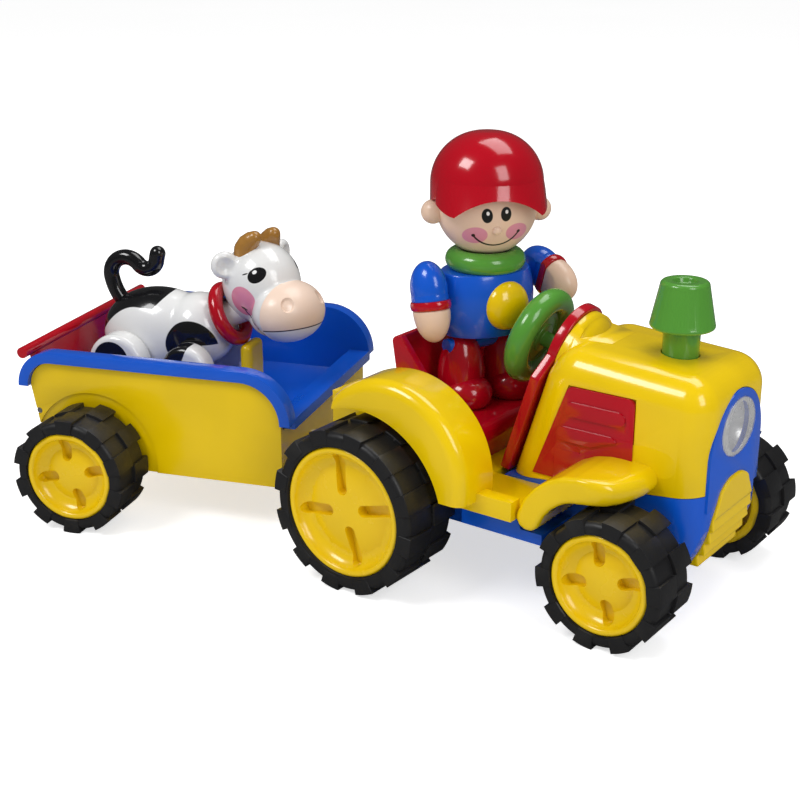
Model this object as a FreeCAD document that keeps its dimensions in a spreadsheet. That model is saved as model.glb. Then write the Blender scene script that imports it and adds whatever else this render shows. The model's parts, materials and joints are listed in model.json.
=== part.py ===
import FreeCAD, Part
import math
import os
import re

import Sketcher
from FreeCAD import Placement, Rotation, Vector

# A moulded push-along farm tractor with a hitched trailer, a driver and a cow.
# Each group is drawn in its own frame, forward along X and up along Z, and then placed in the toy's frame.

# Driving sizes in millimetres and degrees: name, value, meaning
SIZES = (
    ("rear_axle_x", 37.9, "rear axle ahead of the middle of the toy's outline"),
    ("centre_line_y", 16.8, "tractor's middle to the left of the middle of the toy's outline"),
    ("seam", 0.25, "gap between mouldings that are fixed together"),
    ("run_fit", 0.08, "radial clearance of a turning fit"),
    ("press_fit", 0.03, "radial clearance of a pressed fit"),
    ("clear_gap", 0.35, "gap between pieces that move past each other"),
    ("axle_radius", 2.5, "steel axles"),
    ("rear_radius", 32.9, "rear wheel over its lugs"),
    ("rear_hub_radius", 26, "rear hub"),
    ("rear_width", 29, "rear tyre width"),
    ("rear_wheel_gap", 2, "gap between a wheel box and the rear wheel beside it"),
    ("rear_lug_count", 12, "lugs in each row of a rear tyre"),
    ("rear_lug_turn", 19.3, "angle of a rear lug above the forward direction"),
    ("front_axle_x", 100, "front axle ahead of the rear axle"),
    ("front_radius", 25, "front wheel over its lugs"),
    ("front_hub_radius", 19.1, "front hub"),
    ("front_width", 24.5, "front tyre width"),
    ("front_track_half", 60, "middle of the tractor to a front wheel's outer face"),
    ("front_lug_count", 10, "lugs in each row of a front tyre"),
    ("front_lug_turn", 7, "angle of a front lug above the forward direction"),
    ("trailer_lug_turn", 18, "angle of a trailer lug above the forward direction"),
    ("lug_height", 2.6, "lug above the tread"),
    ("lug_row_gap", 0.8, "gap between the two rows of lugs"),
    ("shoulder", 3, "bevel between tread and side wall"),
    ("wall_set", 0.8, "side wall behind the lugs' side faces"),
    ("rim_set", 0.6, "hub's rim behind the wheel's outer face"),
    ("rim_lip", 2.6, "width of the hub's rounded rim"),
    ("rim_wall", 3, "thickness of the hub's outer wall"),
    ("dish_depth", 5, "hub's dish behind its rim"),
    ("dish_width", 5, "radial width of the dish's outer slope"),
    ("dome_rise", 2.6, "hub's middle above the dish"),
    ("hub_floor", 4.5, "thickness behind the dish"),
    ("boss_radius", 6, "hub's boss round the axle"),
    ("slot_count", 4, "slots in a hub"),
    ("slot_turn", 12, "angle of a hub slot above the forward direction"),
    ("slot_start", 8.5, "radius where a hub slot begins"),
    ("slot_margin", 5.5, "hub slot's end inside the hub's edge"),
    ("slot_width", 4.6, "width of a hub slot"),
    ("slot_depth", 2, "hub slot below the dish"),
    ("rear_end_x", -28, "rear end of the chassis"),
    ("nose_x", 122.5, "front of the nose"),
    ("keel_bottom", 17, "underside of the chassis"),
    ("floor_bottom", 38.5, "underside of the footplates"),
    ("floor_thickness", 4, "thickness of the footplates"),
    ("body_half", 28, "half width of the bonnet and chassis"),
    ("nose_side_bottom", 52, "bonnet's lower edge at the nose"),
    ("nose_bend_z", 45, "height where the nose starts to curve back"),
    ("nose_tuck", 11, "nose's set-back at the underside"),
    ("nose_corner", 10.5, "radius of the nose's upright corners"),
    ("skirt_half", 50, "half width of the chassis under the footplates"),
    ("skirt_bottom", 29, "lower edge of the chassis under the footplates"),
    ("skirt_rear_x", 36.5, "rear end of that skirt"),
    ("skirt_front_x", 71.5, "front end of that skirt"),
    ("skirt_step_x", 60, "place where the skirt steps down for the front mudguard"),
    ("skirt_step", 5, "height of that step"),
    ("mask_half", 22, "half width of the nose mask"),
    ("mask_depth", 14, "depth of the nose mask"),
    ("mask_spring_z", 64, "height where the nose mask's round top begins"),
    ("lens_z", 72, "height of the headlamp"),
    ("lens_radius", 10.5, "headlamp lens"),
    ("lamp_depth", 9, "depth of the headlamp's recess"),
    ("reflector_depth", 5.5, "depth of the reflector"),
    ("reflector_wall", 1.2, "thickness of the reflector"),
    ("lens_edge", 1.6, "thickness of the lens at its edge"),
    ("lens_dome", 3, "rise of the lens"),
    ("grille_top_z", 54, "top of the grille tab"),
    ("grille_top_half", 12, "half width of the grille at its top"),
    ("grille_foot_half", 17, "half width of the grille at its foot"),
    ("grille_thickness", 1.6, "grille's stand-off from the nose"),
    ("grille_step", 0.45, "depth of a grille step"),
    ("grille_step_z", 41, "height of the top grille step"),
    ("grille_pitch", 5, "height between grille steps"),
    ("grille_step_count", 4, "steps in the grille"),
    ("tongue_half", 8, "half width of the hitch tongue"),
    ("tongue_bottom", 13, "underside of the hitch tongue"),
    ("tongue_thickness", 7, "thickness of the hitch tongue"),
    ("hitch_x", -66, "hitch pin behind the rear axle"),
    ("hitch_yaw", 19.36, "trailer's turn to the left at the hitch"),
    ("pin_radius", 3, "hitch pin"),
    ("pin_top", 29, "height of the hitch pin's end"),
    ("dash_foot_x", 41, "foot of the bonnet's rear face"),
    ("dash_tilt", 17.5, "lean of the bonnet's rear face"),
    ("dash_thickness", 4, "thickness of the dash plate"),
    ("dash_half", 24.5, "half width of the dash plate"),
    ("dash_side", 41, "length of the dash plate's straight sides"),
    ("dash_shoulder", 8, "length of the dash plate's sloping shoulder"),
    ("pod_radius", 17, "rounded top of the dash"),
    ("pod_length", 16, "length of the instrument pod"),
    ("ridge_x", 62, "ridge of the bonnet's top ahead of the rear axle"),
    ("ridge_z", 97.5, "height of that ridge"),
    ("bonnet_break_z", 86, "height where the bonnet's rear face bends forward"),
    ("bonnet_top_front", 93.5, "height of the bonnet's top line at the nose"),
    ("bonnet_ridge_round", 14, "rounding across the bonnet's ridge and rear bend"),
    ("bonnet_side_round", 12, "rounding along the bonnet's top edges"),
    ("panel_depth", 1.4, "recess of a side panel"),
    ("panel_proud", 0.6, "side panel above the bonnet's side"),
    ("panel_front_x", 95, "front edge of a side panel"),
    ("panel_top_z", 84, "top edge of a side panel"),
    ("panel_rear_top_x", 68, "rear top corner of a side panel"),
    ("panel_rear_foot_x", 54, "rear foot of a side panel"),
    ("panel_foot_z", 47, "lower edge of a side panel"),
    ("panel_corner", 3, "rounding of a side panel's corners"),
    ("louvre_length", 19, "length of a louvre"),
    ("louvre_width", 5.6, "width of a louvre"),
    ("louvre_rise", 0.8, "louvre above its panel"),
    ("louvre_top_z", 75.5, "height of the upper louvre"),
    ("louvre_pitch", 10, "height between the louvres"),
    ("louvre_shift", 3, "lower louvre behind the upper one"),
    ("guard_half", 55, "middle of the tractor to a front mudguard's edge"),
    ("guard_tip_x", 67.8, "middle of a front mudguard's rear tip"),
    ("guard_tip_z", 41, "height of that tip's middle"),
    ("guard_rise_x", 76, "front mudguard's middle line halfway up"),
    ("guard_rise_z", 54.5, "height of that place"),
    ("guard_crown_back", 5, "front mudguard's crown behind the front axle"),
    ("guard_crown_z", 62, "front mudguard's middle line at its crown"),
    ("guard_bow", 0.7, "rise of a front mudguard ahead of its crown"),
    ("guard_reach", 7, "front mudguard's end ahead of the front axle"),
    ("guard_thickness", 10, "thickness of a front mudguard"),
    ("guard_round", 4.4, "rounding of a front mudguard's edge"),
    ("plate_reach", 10, "footplate's edge outside the wheel box"),
    ("plate_front_x", 62.4, "front end of the footplates"),
    ("deck_half", 47, "half width of the wheel boxes"),
    ("wall_lap", 1, "overlap of two walls that are one moulding"),
    ("plate_rim_width", 6, "width of a footplate's raised rim"),
    ("plate_rim_rise", 3.5, "height of a footplate's raised rim"),
    ("arch_reach", 19, "rear mudguard's edge outside the wheel box"),
    ("arch_inner_half", 29, "middle of the tractor to a rear mudguard's inner side"),
    ("box_top", 68, "top of a wheel box inside its mudguard"),
    ("box_front_x", 8, "front end of that top"),
    ("box_foot_x", 38, "front foot of a wheel box"),
    ("arch_clearance", 5.1, "rear mudguard's underside above the wheel"),
    ("arch_tip_x", -13.5, "rear tip of a rear mudguard"),
    ("arch_tip_rise", 8.2, "rear mudguard's tip above the wheel"),
    ("arch_crown_x", 15, "crown of a rear mudguard"),
    ("arch_crown", 13.1, "thickness of a rear mudguard at its crown"),
    ("arch_foot_x", 47, "front foot of a rear mudguard"),
    ("arch_round", 5, "rounding of a rear mudguard's edge"),
    ("deck_top", 66, "height of the deck behind the seat"),
    ("deck_depth", 18, "length of the deck behind the seat"),
    ("seat_half", 28.5, "half width of the seat"),
    ("seat_wall", 3.5, "thickness of the seat's walls"),
    ("seat_pan_z", 59.5, "height of the seat's pan"),
    ("seat_back_x", -5, "foot of the seat's back"),
    ("seat_lean", 7, "backward lean of the seat's back over its height"),
    ("seat_top", 89, "top of the seat's back"),
    ("seat_lip_x", 31, "front lip of the seat"),
    ("seat_foot_x", 27, "front foot of the seat"),
    ("seat_wing_z", 71, "height of a seat wing halfway forward"),
    ("seat_wing_x", 6, "place of that wing height"),
    ("wheel_reach", 17.2, "steering wheel behind the bonnet's rear face"),
    ("wheel_climb", 45.3, "steering wheel's middle up the dash"),
    ("wheel_rim_radius", 15.9, "middle line of the steering wheel's rim"),
    ("wheel_rim_thickness", 4, "radius of the steering wheel's rim"),
    ("wheel_hub_radius", 6, "steering wheel's hub"),
    ("wheel_hub_length", 5, "length of the steering wheel's hub"),
    ("wheel_web", 3, "thickness of the steering wheel's web"),
    ("spindle_radius", 3, "steering spindle"),
    ("spindle_depth", 9, "steering spindle inside the bonnet"),
    ("stack_x", 98, "exhaust stack ahead of the rear axle"),
    ("stack_stem_radius", 6.85, "exhaust stack's stem"),
    ("stack_cap_z", 105, "underside of the exhaust stack's cap"),
    ("stack_cap_radius", 11.9, "cap at its lower edge"),
    ("stack_tip_radius", 8.7, "cap at its top"),
    ("stack_top", 122.6, "top of the exhaust stack"),
    ("stack_dimple", 4.5, "radius of the dimple in the cap"),
    ("stack_foot", 80, "lower end of the exhaust stack's stem"),
    ("stack_well", 62, "bottom of the well in the bonnet"),
    ("spring_radius", 4.6, "middle line of the stack's spring"),
    ("spring_wire", 0.7, "radius of the spring's wire"),
    ("spring_turns", 5, "turns of the spring"),
    ("screw_radius", 1.6, "assembly screws"),
    ("screw_head_radius", 2.8, "heads of the assembly screws"),
    ("screw_length", 12, "assembly screws under their heads"),
    ("screw_head", 1.8, "height of a screw's head"),
    ("trailer_axle_x", -90, "trailer's axle behind the hitch pin"),
    ("trailer_wheel_gap", 0.5, "gap between the bed and a trailer wheel"),
    ("bed_half", 53, "half width of the trailer's bed"),
    ("bed_wall", 2.5, "thickness of the bed's walls"),
    ("bed_front_x", -4, "bed's front face behind the hitch pin"),
    ("bed_bottom", 21, "lower edge of the bed"),
    ("bed_floor_z", 36, "underside of the bed's floor"),
    ("bed_floor_rear_x", -112, "rear end of the bed's floor"),
    ("bed_side_top", 66, "top of the bed's sides"),
    ("bed_front_top", 46, "top of the bed's front wall"),
    ("bed_corner", 17, "rounding of the sides' front top corners"),
    ("bed_rear_low_x", -113, "rear end of the sides at the bottom"),
    ("bed_rear_top_x", -119, "rear end of the sides under their rounded corner"),
    ("bed_rear_round", 11, "rounding of the sides' rear top corners"),
    ("wheel_recess", 0.8, "depth of the round recess behind a trailer wheel"),
    ("wheel_recess_gap", 4, "that recess beyond the wheel"),
    ("eye_half", 8, "half width of the drawbar eye"),
    ("eye_thickness", 4.6, "thickness of the drawbar eye"),
    ("liner_wall", 2.2, "thickness of the liner"),
    ("rim_height", 4.5, "height of the liner's rolled rim"),
    ("rim_overhang", 2.2, "rim beyond the bed's sides"),
    ("gate_hinge_x", -116, "tailgate's hinge behind the hitch pin"),
    ("gate_hinge_z", 43.5, "height of the tailgate's hinge"),
    ("gate_barrel", 3, "radius of the tailgate's hinge barrel"),
    ("gate_pin_radius", 1.4, "tailgate's hinge pin"),
    ("gate_height", 26.7, "hinge to the middle of the tailgate's top bar"),
    ("gate_lean", 10, "outward lean of the closed tailgate"),
    ("gate_thickness", 3, "thickness of the tailgate"),
    ("gate_bar", 2.4, "radius of the tailgate's top bar"),
    ("driver_x", 10.5, "driver ahead of the rear axle"),
    ("driver_y", 3, "driver to the left of the tractor's middle"),
    ("driver_turn", -20, "turn of the driver to the left"),
    ("boot_apart", 11, "middle of the driver to a boot's middle"),
    ("boot_half_length", 9.4, "half length of a boot's leg"),
    ("boot_half_width", 9.9, "half width of a boot's leg"),
    ("boot_middle_z", 10, "height of a boot's widest place"),
    ("boot_top", 29.5, "top of a boot"),
    ("toe_x", 4, "middle of a boot's toe"),
    ("toe_half_length", 10.8, "half length of a boot's toe"),
    ("toe_half_width", 10.3, "half width of a boot's toe"),
    ("toe_rise", 8.2, "rise of a boot's toe above its middle"),
    ("toe_z", 4.5, "height of a toe's widest place"),
    ("hip_z", 24, "height of the hip bar"),
    ("hip_radius", 3, "hip bar"),
    ("hip_half", 18.5, "half length of the hip bar"),
    ("hip_web_half", 2.5, "half width of the web above the hip bar"),
    ("hip_web_length", 6, "length of that web"),
    ("torso_bottom", 28.5, "underside of the torso"),
    ("torso_top", 54, "top of the torso"),
    ("torso_middle_z", 42, "height of the torso's widest place"),
    ("torso_depth", 16, "half depth of the torso"),
    ("torso_half", 21.5, "half width of the torso"),
    ("torso_swell", 26, "half height of the torso's curve"),
    ("torso_round", 2.5, "rounding of the torso's edges"),
    ("neck_radius", 5.5, "driver's neck"),
    ("collar_ring", 11.6, "middle line of the driver's collar"),
    ("collar_thickness", 4.4, "radius of the driver's collar"),
    ("collar_sink", 0.8, "flat cut from the collar's underside"),
    ("head_radius", 20, "driver's head"),
    ("head_turn", -25, "turn of the driver's head to the left"),
    ("head_socket", 9, "depth of the neck's socket in the head"),
    ("ear_radius", 4.8, "driver's ears"),
    ("ear_drop", 2.5, "ears below the head's middle"),
    ("nose_radius", 2.5, "driver's nose"),
    ("nose_drop", 4, "nose below the head's middle"),
    ("cap_radius", 22, "driver's cap"),
    ("cap_rise", 28.6, "top of the cap above the head's middle"),
    ("cap_edge", 2, "cap's edge above the head's middle"),
    ("visor_x", 12, "middle of the visor ahead of the head's middle"),
    ("visor_half_length", 17, "half length of the visor's curve"),
    ("visor_half_width", 19, "half width of the visor's curve"),
    ("visor_rise", 8, "rise of the visor's curve"),
    ("visor_thickness", 2.4, "thickness of the visor"),
    ("button_radius", 8.8, "driver's big button"),
    ("button_rise", 4.2, "half thickness of the button"),
    ("button_z", 41.5, "height of the button"),
    ("shoulder_z", 51, "height of the shoulder pins"),
    ("shoulder_pin", 3, "radius of the shoulder pins"),
    ("shoulder_depth", 5.5, "shoulder pin inside an arm"),
    ("arm_middle", 5.6, "middle of an arm outside its inner face"),
    ("sleeve_half_length", 7.6, "half length of a sleeve, front to back"),
    ("sleeve_half_width", 6.4, "half width of a sleeve"),
    ("sleeve_top", 9, "top of a sleeve above its pin"),
    ("sleeve_drop", 6.5, "end of a sleeve below its pin"),
    ("cuff_height", 3.5, "height of a cuff"),
    ("cuff_half_length", 8.6, "half length of a cuff, front to back"),
    ("cuff_half_width", 7, "half width of a cuff"),
    ("hand_half_length", 7.7, "half length of a hand, front to back"),
    ("hand_half_width", 6.2, "half width of a hand"),
    ("hand_reach", 13, "hand below its cuff"),
    ("right_arm_swing", 12, "forward swing of the right arm"),
    ("left_arm_swing", 72, "forward swing of the left arm"),
    ("cow_x", -82, "cow's middle behind the hitch pin"),
    ("cow_half_length", 28, "half length of the cow's barrel"),
    ("cow_half_width", 17, "half width of the cow's barrel"),
    ("cow_half_height", 21, "half height of the cow's barrel"),
    ("cow_middle_z", 25.5, "height of the cow's barrel"),
    ("chest_x", 19, "middle of the cow's chest"),
    ("chest_z", 29, "height of the cow's chest"),
    ("chest_radius", 16.5, "cow's chest"),
    ("cow_collar_x", 34, "middle of the cow's collar"),
    ("cow_collar_z", 37, "height of the cow's collar"),
    ("cow_collar_ring", 11.6, "middle line of the cow's collar"),
    ("cow_collar_thickness", 3.3, "radius of the cow's collar"),
    ("cow_neck_lift", 24.5, "upward slope of the cow's neck"),
    ("cow_neck_radius", 6, "cow's neck pin"),
    ("cow_neck_socket", 8, "depth of the neck pin's socket in the head"),
    ("bell_half", 8, "half width of the cow's bell"),
    ("bell_height", 18, "height of the cow's bell"),
    ("bell_thickness", 5.5, "thickness of the cow's bell"),
    ("bell_round", 2.2, "rounding of the cow's bell"),
    ("cow_head_x", 48, "middle of the cow's head"),
    ("cow_head_z", 52, "height of the cow's head"),
    ("cow_head_half_length", 18.5, "half length of the cow's head"),
    ("cow_head_half_width", 16.5, "half width of the cow's head"),
    ("cow_head_half_height", 18.5, "half height of the cow's head"),
    ("cow_head_turn", -22, "turn of the cow's head to the left"),
    ("muzzle_x", 66, "middle of the cow's muzzle"),
    ("muzzle_z", 43.5, "height of the cow's muzzle"),
    ("muzzle_half_length", 13.5, "half length of the cow's muzzle"),
    ("muzzle_half_width", 15.5, "half width of the cow's muzzle"),
    ("muzzle_half_height", 13, "half height of the cow's muzzle"),
    ("horn_apart", 5, "middle of the cow's head to a horn"),
    ("horn_radius", 5.2, "foot of a horn"),
    ("horn_tip", 3, "tip of a horn"),
    ("horn_length", 10, "length of a horn"),
    ("horn_spread", 16, "outward lean of a horn"),
    ("cow_ear_length", 10, "half length of a cow's ear"),
    ("cow_ear_apart", 14, "cow's ears, from the head's middle to each side"),
    ("cow_ear_back", 8, "cow's ears behind the head's middle"),
    ("cow_ear_rise", 9, "cow's ears above the head's middle"),
    ("cow_ear_sweep", 60, "backward sweep of the cow's ears, degrees"),
    ("bridge_x", 57.5, "bridge of the cow's nose, ahead of the cow's middle"),
    ("bridge_z", 49, "bridge of the cow's nose above the feet"),
    ("bridge_dip", 28, "downward dip of the bridge, degrees"),
    ("bridge_half_length", 16, "half length of the bridge"),
    ("bridge_half_width", 13.2, "half width of the bridge"),
    ("bridge_half_height", 13.2, "half height of the bridge"),
    ("cow_ear_width", 8, "half width of a cow's ear"),
    ("cow_ear_thickness", 3, "half thickness of a cow's ear"),
    ("hip_disc_radius", 13.5, "cow's rear hip discs"),
    ("knee_disc_radius", 11, "cow's front leg discs"),
    ("hock_x", -11, "cow's rear hips"),
    ("knee_x", 22, "cow's front leg pins"),
    ("leg_pin_z", 16.5, "height of the cow's leg pins"),
    ("leg_pin_radius", 3, "cow's leg pins"),
    ("leg_thickness", 9, "thickness of the cow's legs"),
    ("leg_round", 3, "rounding of the cow's legs"),
    ("foot_half", 7.5, "half length of a cow's foot"),
    ("tail_radius", 3.5, "cow's tail"),
    ("tail_root_x", -18.5, "tail's root, ahead of the cow's middle"),
    ("tail_root_z", 38.5, "tail's root above the feet"),
    ("tail_lean", 40, "backward lean of the tail at its root, degrees"),
    ("tail_rise", 24, "radius of the tail's first bend"),
    ("tail_bow", 8, "radius of the tail's upper bend"),
    ("tail_curl", 5, "radius of the tail's curl"),
)
ALIASES = {alias for alias, value, meaning in SIZES}

doc = FreeCAD.newDocument("farm_tractor")
sheet = doc.addObject("Spreadsheet::Sheet", "Sizes")
for row, (alias, value, meaning) in enumerate(SIZES, start=1):
    sheet.set(f"A{row}", meaning)
    sheet.set(f"B{row}", str(value))
    sheet.setAlias(f"B{row}", alias)
doc.recompute()

PIECES = []


# Reading and binding sizes
def bound(formula):
    """The formula with each size name pointing at its cell."""
    return re.sub(r"[a-z][a-z_0-9]*", lambda word: f"Sizes.{word[0]}" if word[0] in ALIASES else word[0], formula)


def amount(formula):
    """The formula's value in millimetres or degrees."""
    return float(sheet.evalExpression(bound(formula)))


def at(x="0", y="0", z="0", axis=None, angle="0"):
    """A place given by formulas, turned about an axis."""
    turn = Rotation(Vector(*axis), amount(angle)) if axis else Rotation()
    return Placement(Vector(amount(x), amount(y), amount(z)), turn)


ALONG_X = (0, 1, 0)
ALONG_Y = (1, 0, 0)
UP = (0, 0, 1)


# Bodies made of sketches and features
def new_body(name):
    return doc.addObject("PartDesign::Body", name)


def origin_plane(body, role):
    return next(feature for feature in body.Origin.OriginFeatures if feature.Role == role)


def new_sketch(body, role, lift):
    sketch = body.newObject("Sketcher::SketchObject", "Sketch")
    sketch.AttachmentSupport = [(origin_plane(body, role), "")]
    sketch.MapMode = "FlatFace"
    sketch.setExpression("AttachmentOffset.Base.z", bound(lift))
    return sketch


def pin_point(sketch, shape, end, x, y):
    """Bind one end of a sketch's line or arc to two formulas."""
    for kind, formula in (("DistanceX", x), ("DistanceY", y)):
        index = sketch.addConstraint(Sketcher.Constraint(kind, -1, 1, shape, end, amount(formula)))
        sketch.setExpression(f"Constraints[{index}]", bound(formula))


def outline(body, role, points, lift="0"):
    """A closed sketch: each point is x, y, or x, y and a point that the arc before it passes."""
    sketch = new_sketch(body, role, lift)
    spots = [Vector(amount(point[0]), amount(point[1]), 0) for point in points]
    ends = []
    for index, point in enumerate(points):
        start, stop = spots[index - 1], spots[index]
        order = (1, 2)
        if len(point) == 4:
            middle = Vector(amount(point[2]), amount(point[3]), 0)
            if (stop - start).cross(middle - start).z > 0:
                start, stop = stop, start
                order = (2, 1)
            sketch.addGeometry(Part.Arc(start, middle, stop), False)
        else:
            sketch.addGeometry(Part.LineSegment(start, stop), False)
        ends.append(order)
    for index, point in enumerate(points):
        before = (index - 1) % len(points)
        sketch.addConstraint(Sketcher.Constraint("Coincident", before, ends[before][1], index, ends[index][0]))
        pin_point(sketch, index, ends[index][1], point[0], point[1])
    for index, point in enumerate(points):
        if len(point) == 4:
            middle = Vector(amount(point[2]), amount(point[3]), 0)
            spot = sketch.addGeometry(Part.Point(middle), True)
            pin_point(sketch, spot, 1, point[2], point[3])
            sketch.addConstraint(Sketcher.Constraint("PointOnObject", spot, 1, index))
    return sketch


def ring(body, role, x, y, radius, lift="0"):
    """A sketch of one circle."""
    sketch = new_sketch(body, role, lift)
    sketch.addGeometry(Part.Circle(Vector(amount(x), amount(y), 0), Vector(0, 0, 1), amount(radius)), False)
    pin_point(sketch, 0, 3, x, y)
    index = sketch.addConstraint(Sketcher.Constraint("Radius", 0, amount(radius)))
    sketch.setExpression(f"Constraints[{index}]", bound(radius))
    return sketch


def feature(body, kind, sketch, length, both_ways=False, reverse=False):
    """A pad or pocket of a sketch."""
    made = body.newObject(f"PartDesign::{kind}", kind)
    made.Profile = sketch
    made.setExpression("Length", bound(length))
    made.Midplane = both_ways
    made.Reversed = reverse
    return made


def pad(body, sketch, length, both_ways=False, reverse=False):
    return feature(body, "Pad", sketch, length, both_ways, reverse)


def pocket(body, sketch, length, both_ways=False, reverse=False):
    """A pocket that is checked to cut something."""
    doc.recompute()
    before = body.Shape.Volume
    made = feature(body, "Pocket", sketch, length, both_ways, reverse)
    doc.recompute()
    if body.Shape.Volume > before - 1e-3:
        raise RuntimeError(f"a pocket of {body.Label} cuts nothing")
    return made


def revolve(body, sketch):
    made = body.newObject("PartDesign::Revolution", "Revolution")
    made.Profile = sketch
    made.ReferenceAxis = (sketch, ["V_Axis"])
    made.Angle = 360
    return made


def repeat_round(body, made, sketch, count):
    """Copies of a feature round the body's Z axis."""
    pattern = body.newObject("PartDesign::PolarPattern", "PolarPattern")
    pattern.Originals = [made]
    pattern.Axis = (sketch, ["N_Axis"])
    pattern.Angle = 360
    pattern.setExpression("Occurrences", bound(count))
    body.Tip = pattern
    return pattern


def mirror(body, made):
    """The same features on the other side of the middle plane."""
    copy = body.newObject("PartDesign::Mirrored", "Mirrored")
    copy.Originals = made
    copy.MirrorPlane = (origin_plane(body, "XZ_Plane"), [""])
    body.Tip = copy
    return copy


def round_edges(body, radius, wanted):
    """Round the edges of the body that the test picks."""
    doc.recompute()
    base = body.Tip
    names = [f"Edge{index}" for index, edge in enumerate(base.Shape.Edges, start=1) if wanted(edge)]
    if not names:
        raise RuntimeError(f"no edge of {body.Label} to round")
    made = body.newObject("PartDesign::Fillet", "Fillet")
    made.Base = (base, names)
    made.setExpression("Radius", bound(radius))
    doc.recompute()
    return made


def lies_on(edge, axis, place):
    """Whether an edge lies in the plane where one coordinate has the given value."""
    low = (edge.BoundBox.XMin, edge.BoundBox.YMin, edge.BoundBox.ZMin)[axis]
    high = (edge.BoundBox.XMax, edge.BoundBox.YMax, edge.BoundBox.ZMax)[axis]
    return abs(low - place) < 0.01 and abs(high - place) < 0.01


# Primitives and booleans
def primitive(kind, place, **sizes):
    made = doc.addObject(f"Part::{kind}", kind)
    for size, formula in sizes.items():
        made.setExpression(size, bound(formula))
    made.Placement = place
    return made


def box(x, y, z, length, width, height):
    """A box from its lowest corner."""
    return primitive("Box", at(x, y, z), Length=length, Width=width, Height=height)


def rod(place, radius, length):
    """A cylinder along its place's Z axis."""
    return primitive("Cylinder", place, Radius=radius, Height=length)


def cross_rod(x, z, radius, half):
    """A cylinder across the middle plane."""
    return rod(at(x, half, z, ALONG_Y, "90"), radius, f"2 * ({half})")


def ellipsoid(place, half_x, half_y, half_z):
    made = primitive("Ellipsoid", place, Radius1=half_z, Radius2=half_x, Radius3=half_y)
    made.Angle1 = -90
    made.Angle2 = 90
    made.Angle3 = 360
    return made


def ball(place, radius):
    return primitive("Sphere", place, Radius=radius)


def torus(place, radius, thickness):
    return primitive("Torus", place, Radius1=radius, Radius2=thickness)


def join(*shapes):
    made = doc.addObject("Part::MultiFuse", "Join")
    made.Shapes = list(shapes)
    return made


def overlap(*shapes):
    made = doc.addObject("Part::MultiCommon", "Overlap")
    made.Shapes = list(shapes)
    return made


def less(base, *tools):
    """The base with each tool cut away."""
    for tool in tools:
        cut = doc.addObject("Part::Cut", "Less")
        cut.Base = base
        cut.Tool = tool
        base = cut
    return base


def rounded(base, radius, wanted):
    """The base with the edges that the test picks rounded."""
    doc.recompute()
    made = doc.addObject("Part::Fillet", "Rounded")
    made.Base = base
    size = amount(radius)
    made.Edges = [(index, size, size) for index, edge in enumerate(base.Shape.Edges, start=1) if wanted(edge)]
    return made


def piece(made, label, group):
    """Name a finished piece and place it with its group."""
    made.Label = label
    made.Placement = group.multiply(made.Placement)
    PIECES.append(made)
    return made


TRACTOR = at("rear_axle_x", "centre_line_y")
TRAILER = TRACTOR.multiply(at("hitch_x", axis=UP, angle="hitch_yaw"))
DASH = TRACTOR.multiply(at("dash_foot_x", "0", "floor_bottom + floor_thickness + seam", ALONG_X, "dash_tilt"))


# Wheels: drawn with the outer face at zero and the axle running along Z into the toy
def make_tyre(label, group, place, radius, hub_radius, width, count, turn):
    body = new_body(label)
    bore = f"{hub_radius} + press_fit"
    tread = f"({radius} - lug_height)"
    revolve(body, outline(body, "XZ_Plane", [
        (bore, "wall_set"),
        (f"{tread} - shoulder", "wall_set"),
        (tread, "wall_set + shoulder"),
        (tread, f"{width} - wall_set - shoulder"),
        (f"{tread} - shoulder", f"{width} - wall_set"),
        (bore, f"{width} - wall_set"),
    ]))
    row_width = f"({width} - lug_row_gap) / 2"
    for row in (0, 1):
        middle = f"{turn} + {row} * 180 / {count}"
        low = f"({middle} - 90 / {count})"
        high = f"({middle} + 90 / {count})"
        foot = f"({tread} - shoulder)"
        lug_sketch = outline(body, "XY_Plane", [
            (f"{foot} * cos({low})", f"{foot} * sin({low})"),
            (f"{radius} * cos({low})", f"{radius} * sin({low})"),
            (f"{radius} * cos({high})", f"{radius} * sin({high})",
             f"{radius} * cos({middle})", f"{radius} * sin({middle})"),
            (f"{foot} * cos({high})", f"{foot} * sin({high})"),
        ], lift=f"{row} * ({row_width} + lug_row_gap)")
        lug = pad(body, lug_sketch, row_width)
        repeat_round(body, lug, lug_sketch, count)
    return piece(body, label, group.multiply(place))


DISH_Z = "(rim_set + dish_depth)"
REAR_TRACK = "(deck_half + rear_wheel_gap + rear_width)"
TRAILER_TRACK = "(bed_half + trailer_wheel_gap + front_width)"
ARCH_HALF = "(deck_half + arch_reach)"
ARCH_TIP_Z = "(2 * rear_radius + arch_tip_rise)"
ARCH_CROWN_Z = "(2 * rear_radius + arch_clearance + arch_crown)"
PLATE_HALF = "(deck_half + plate_reach)"
AXLE_STOP = f"({DISH_Z} + hub_floor / 2)"


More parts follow.
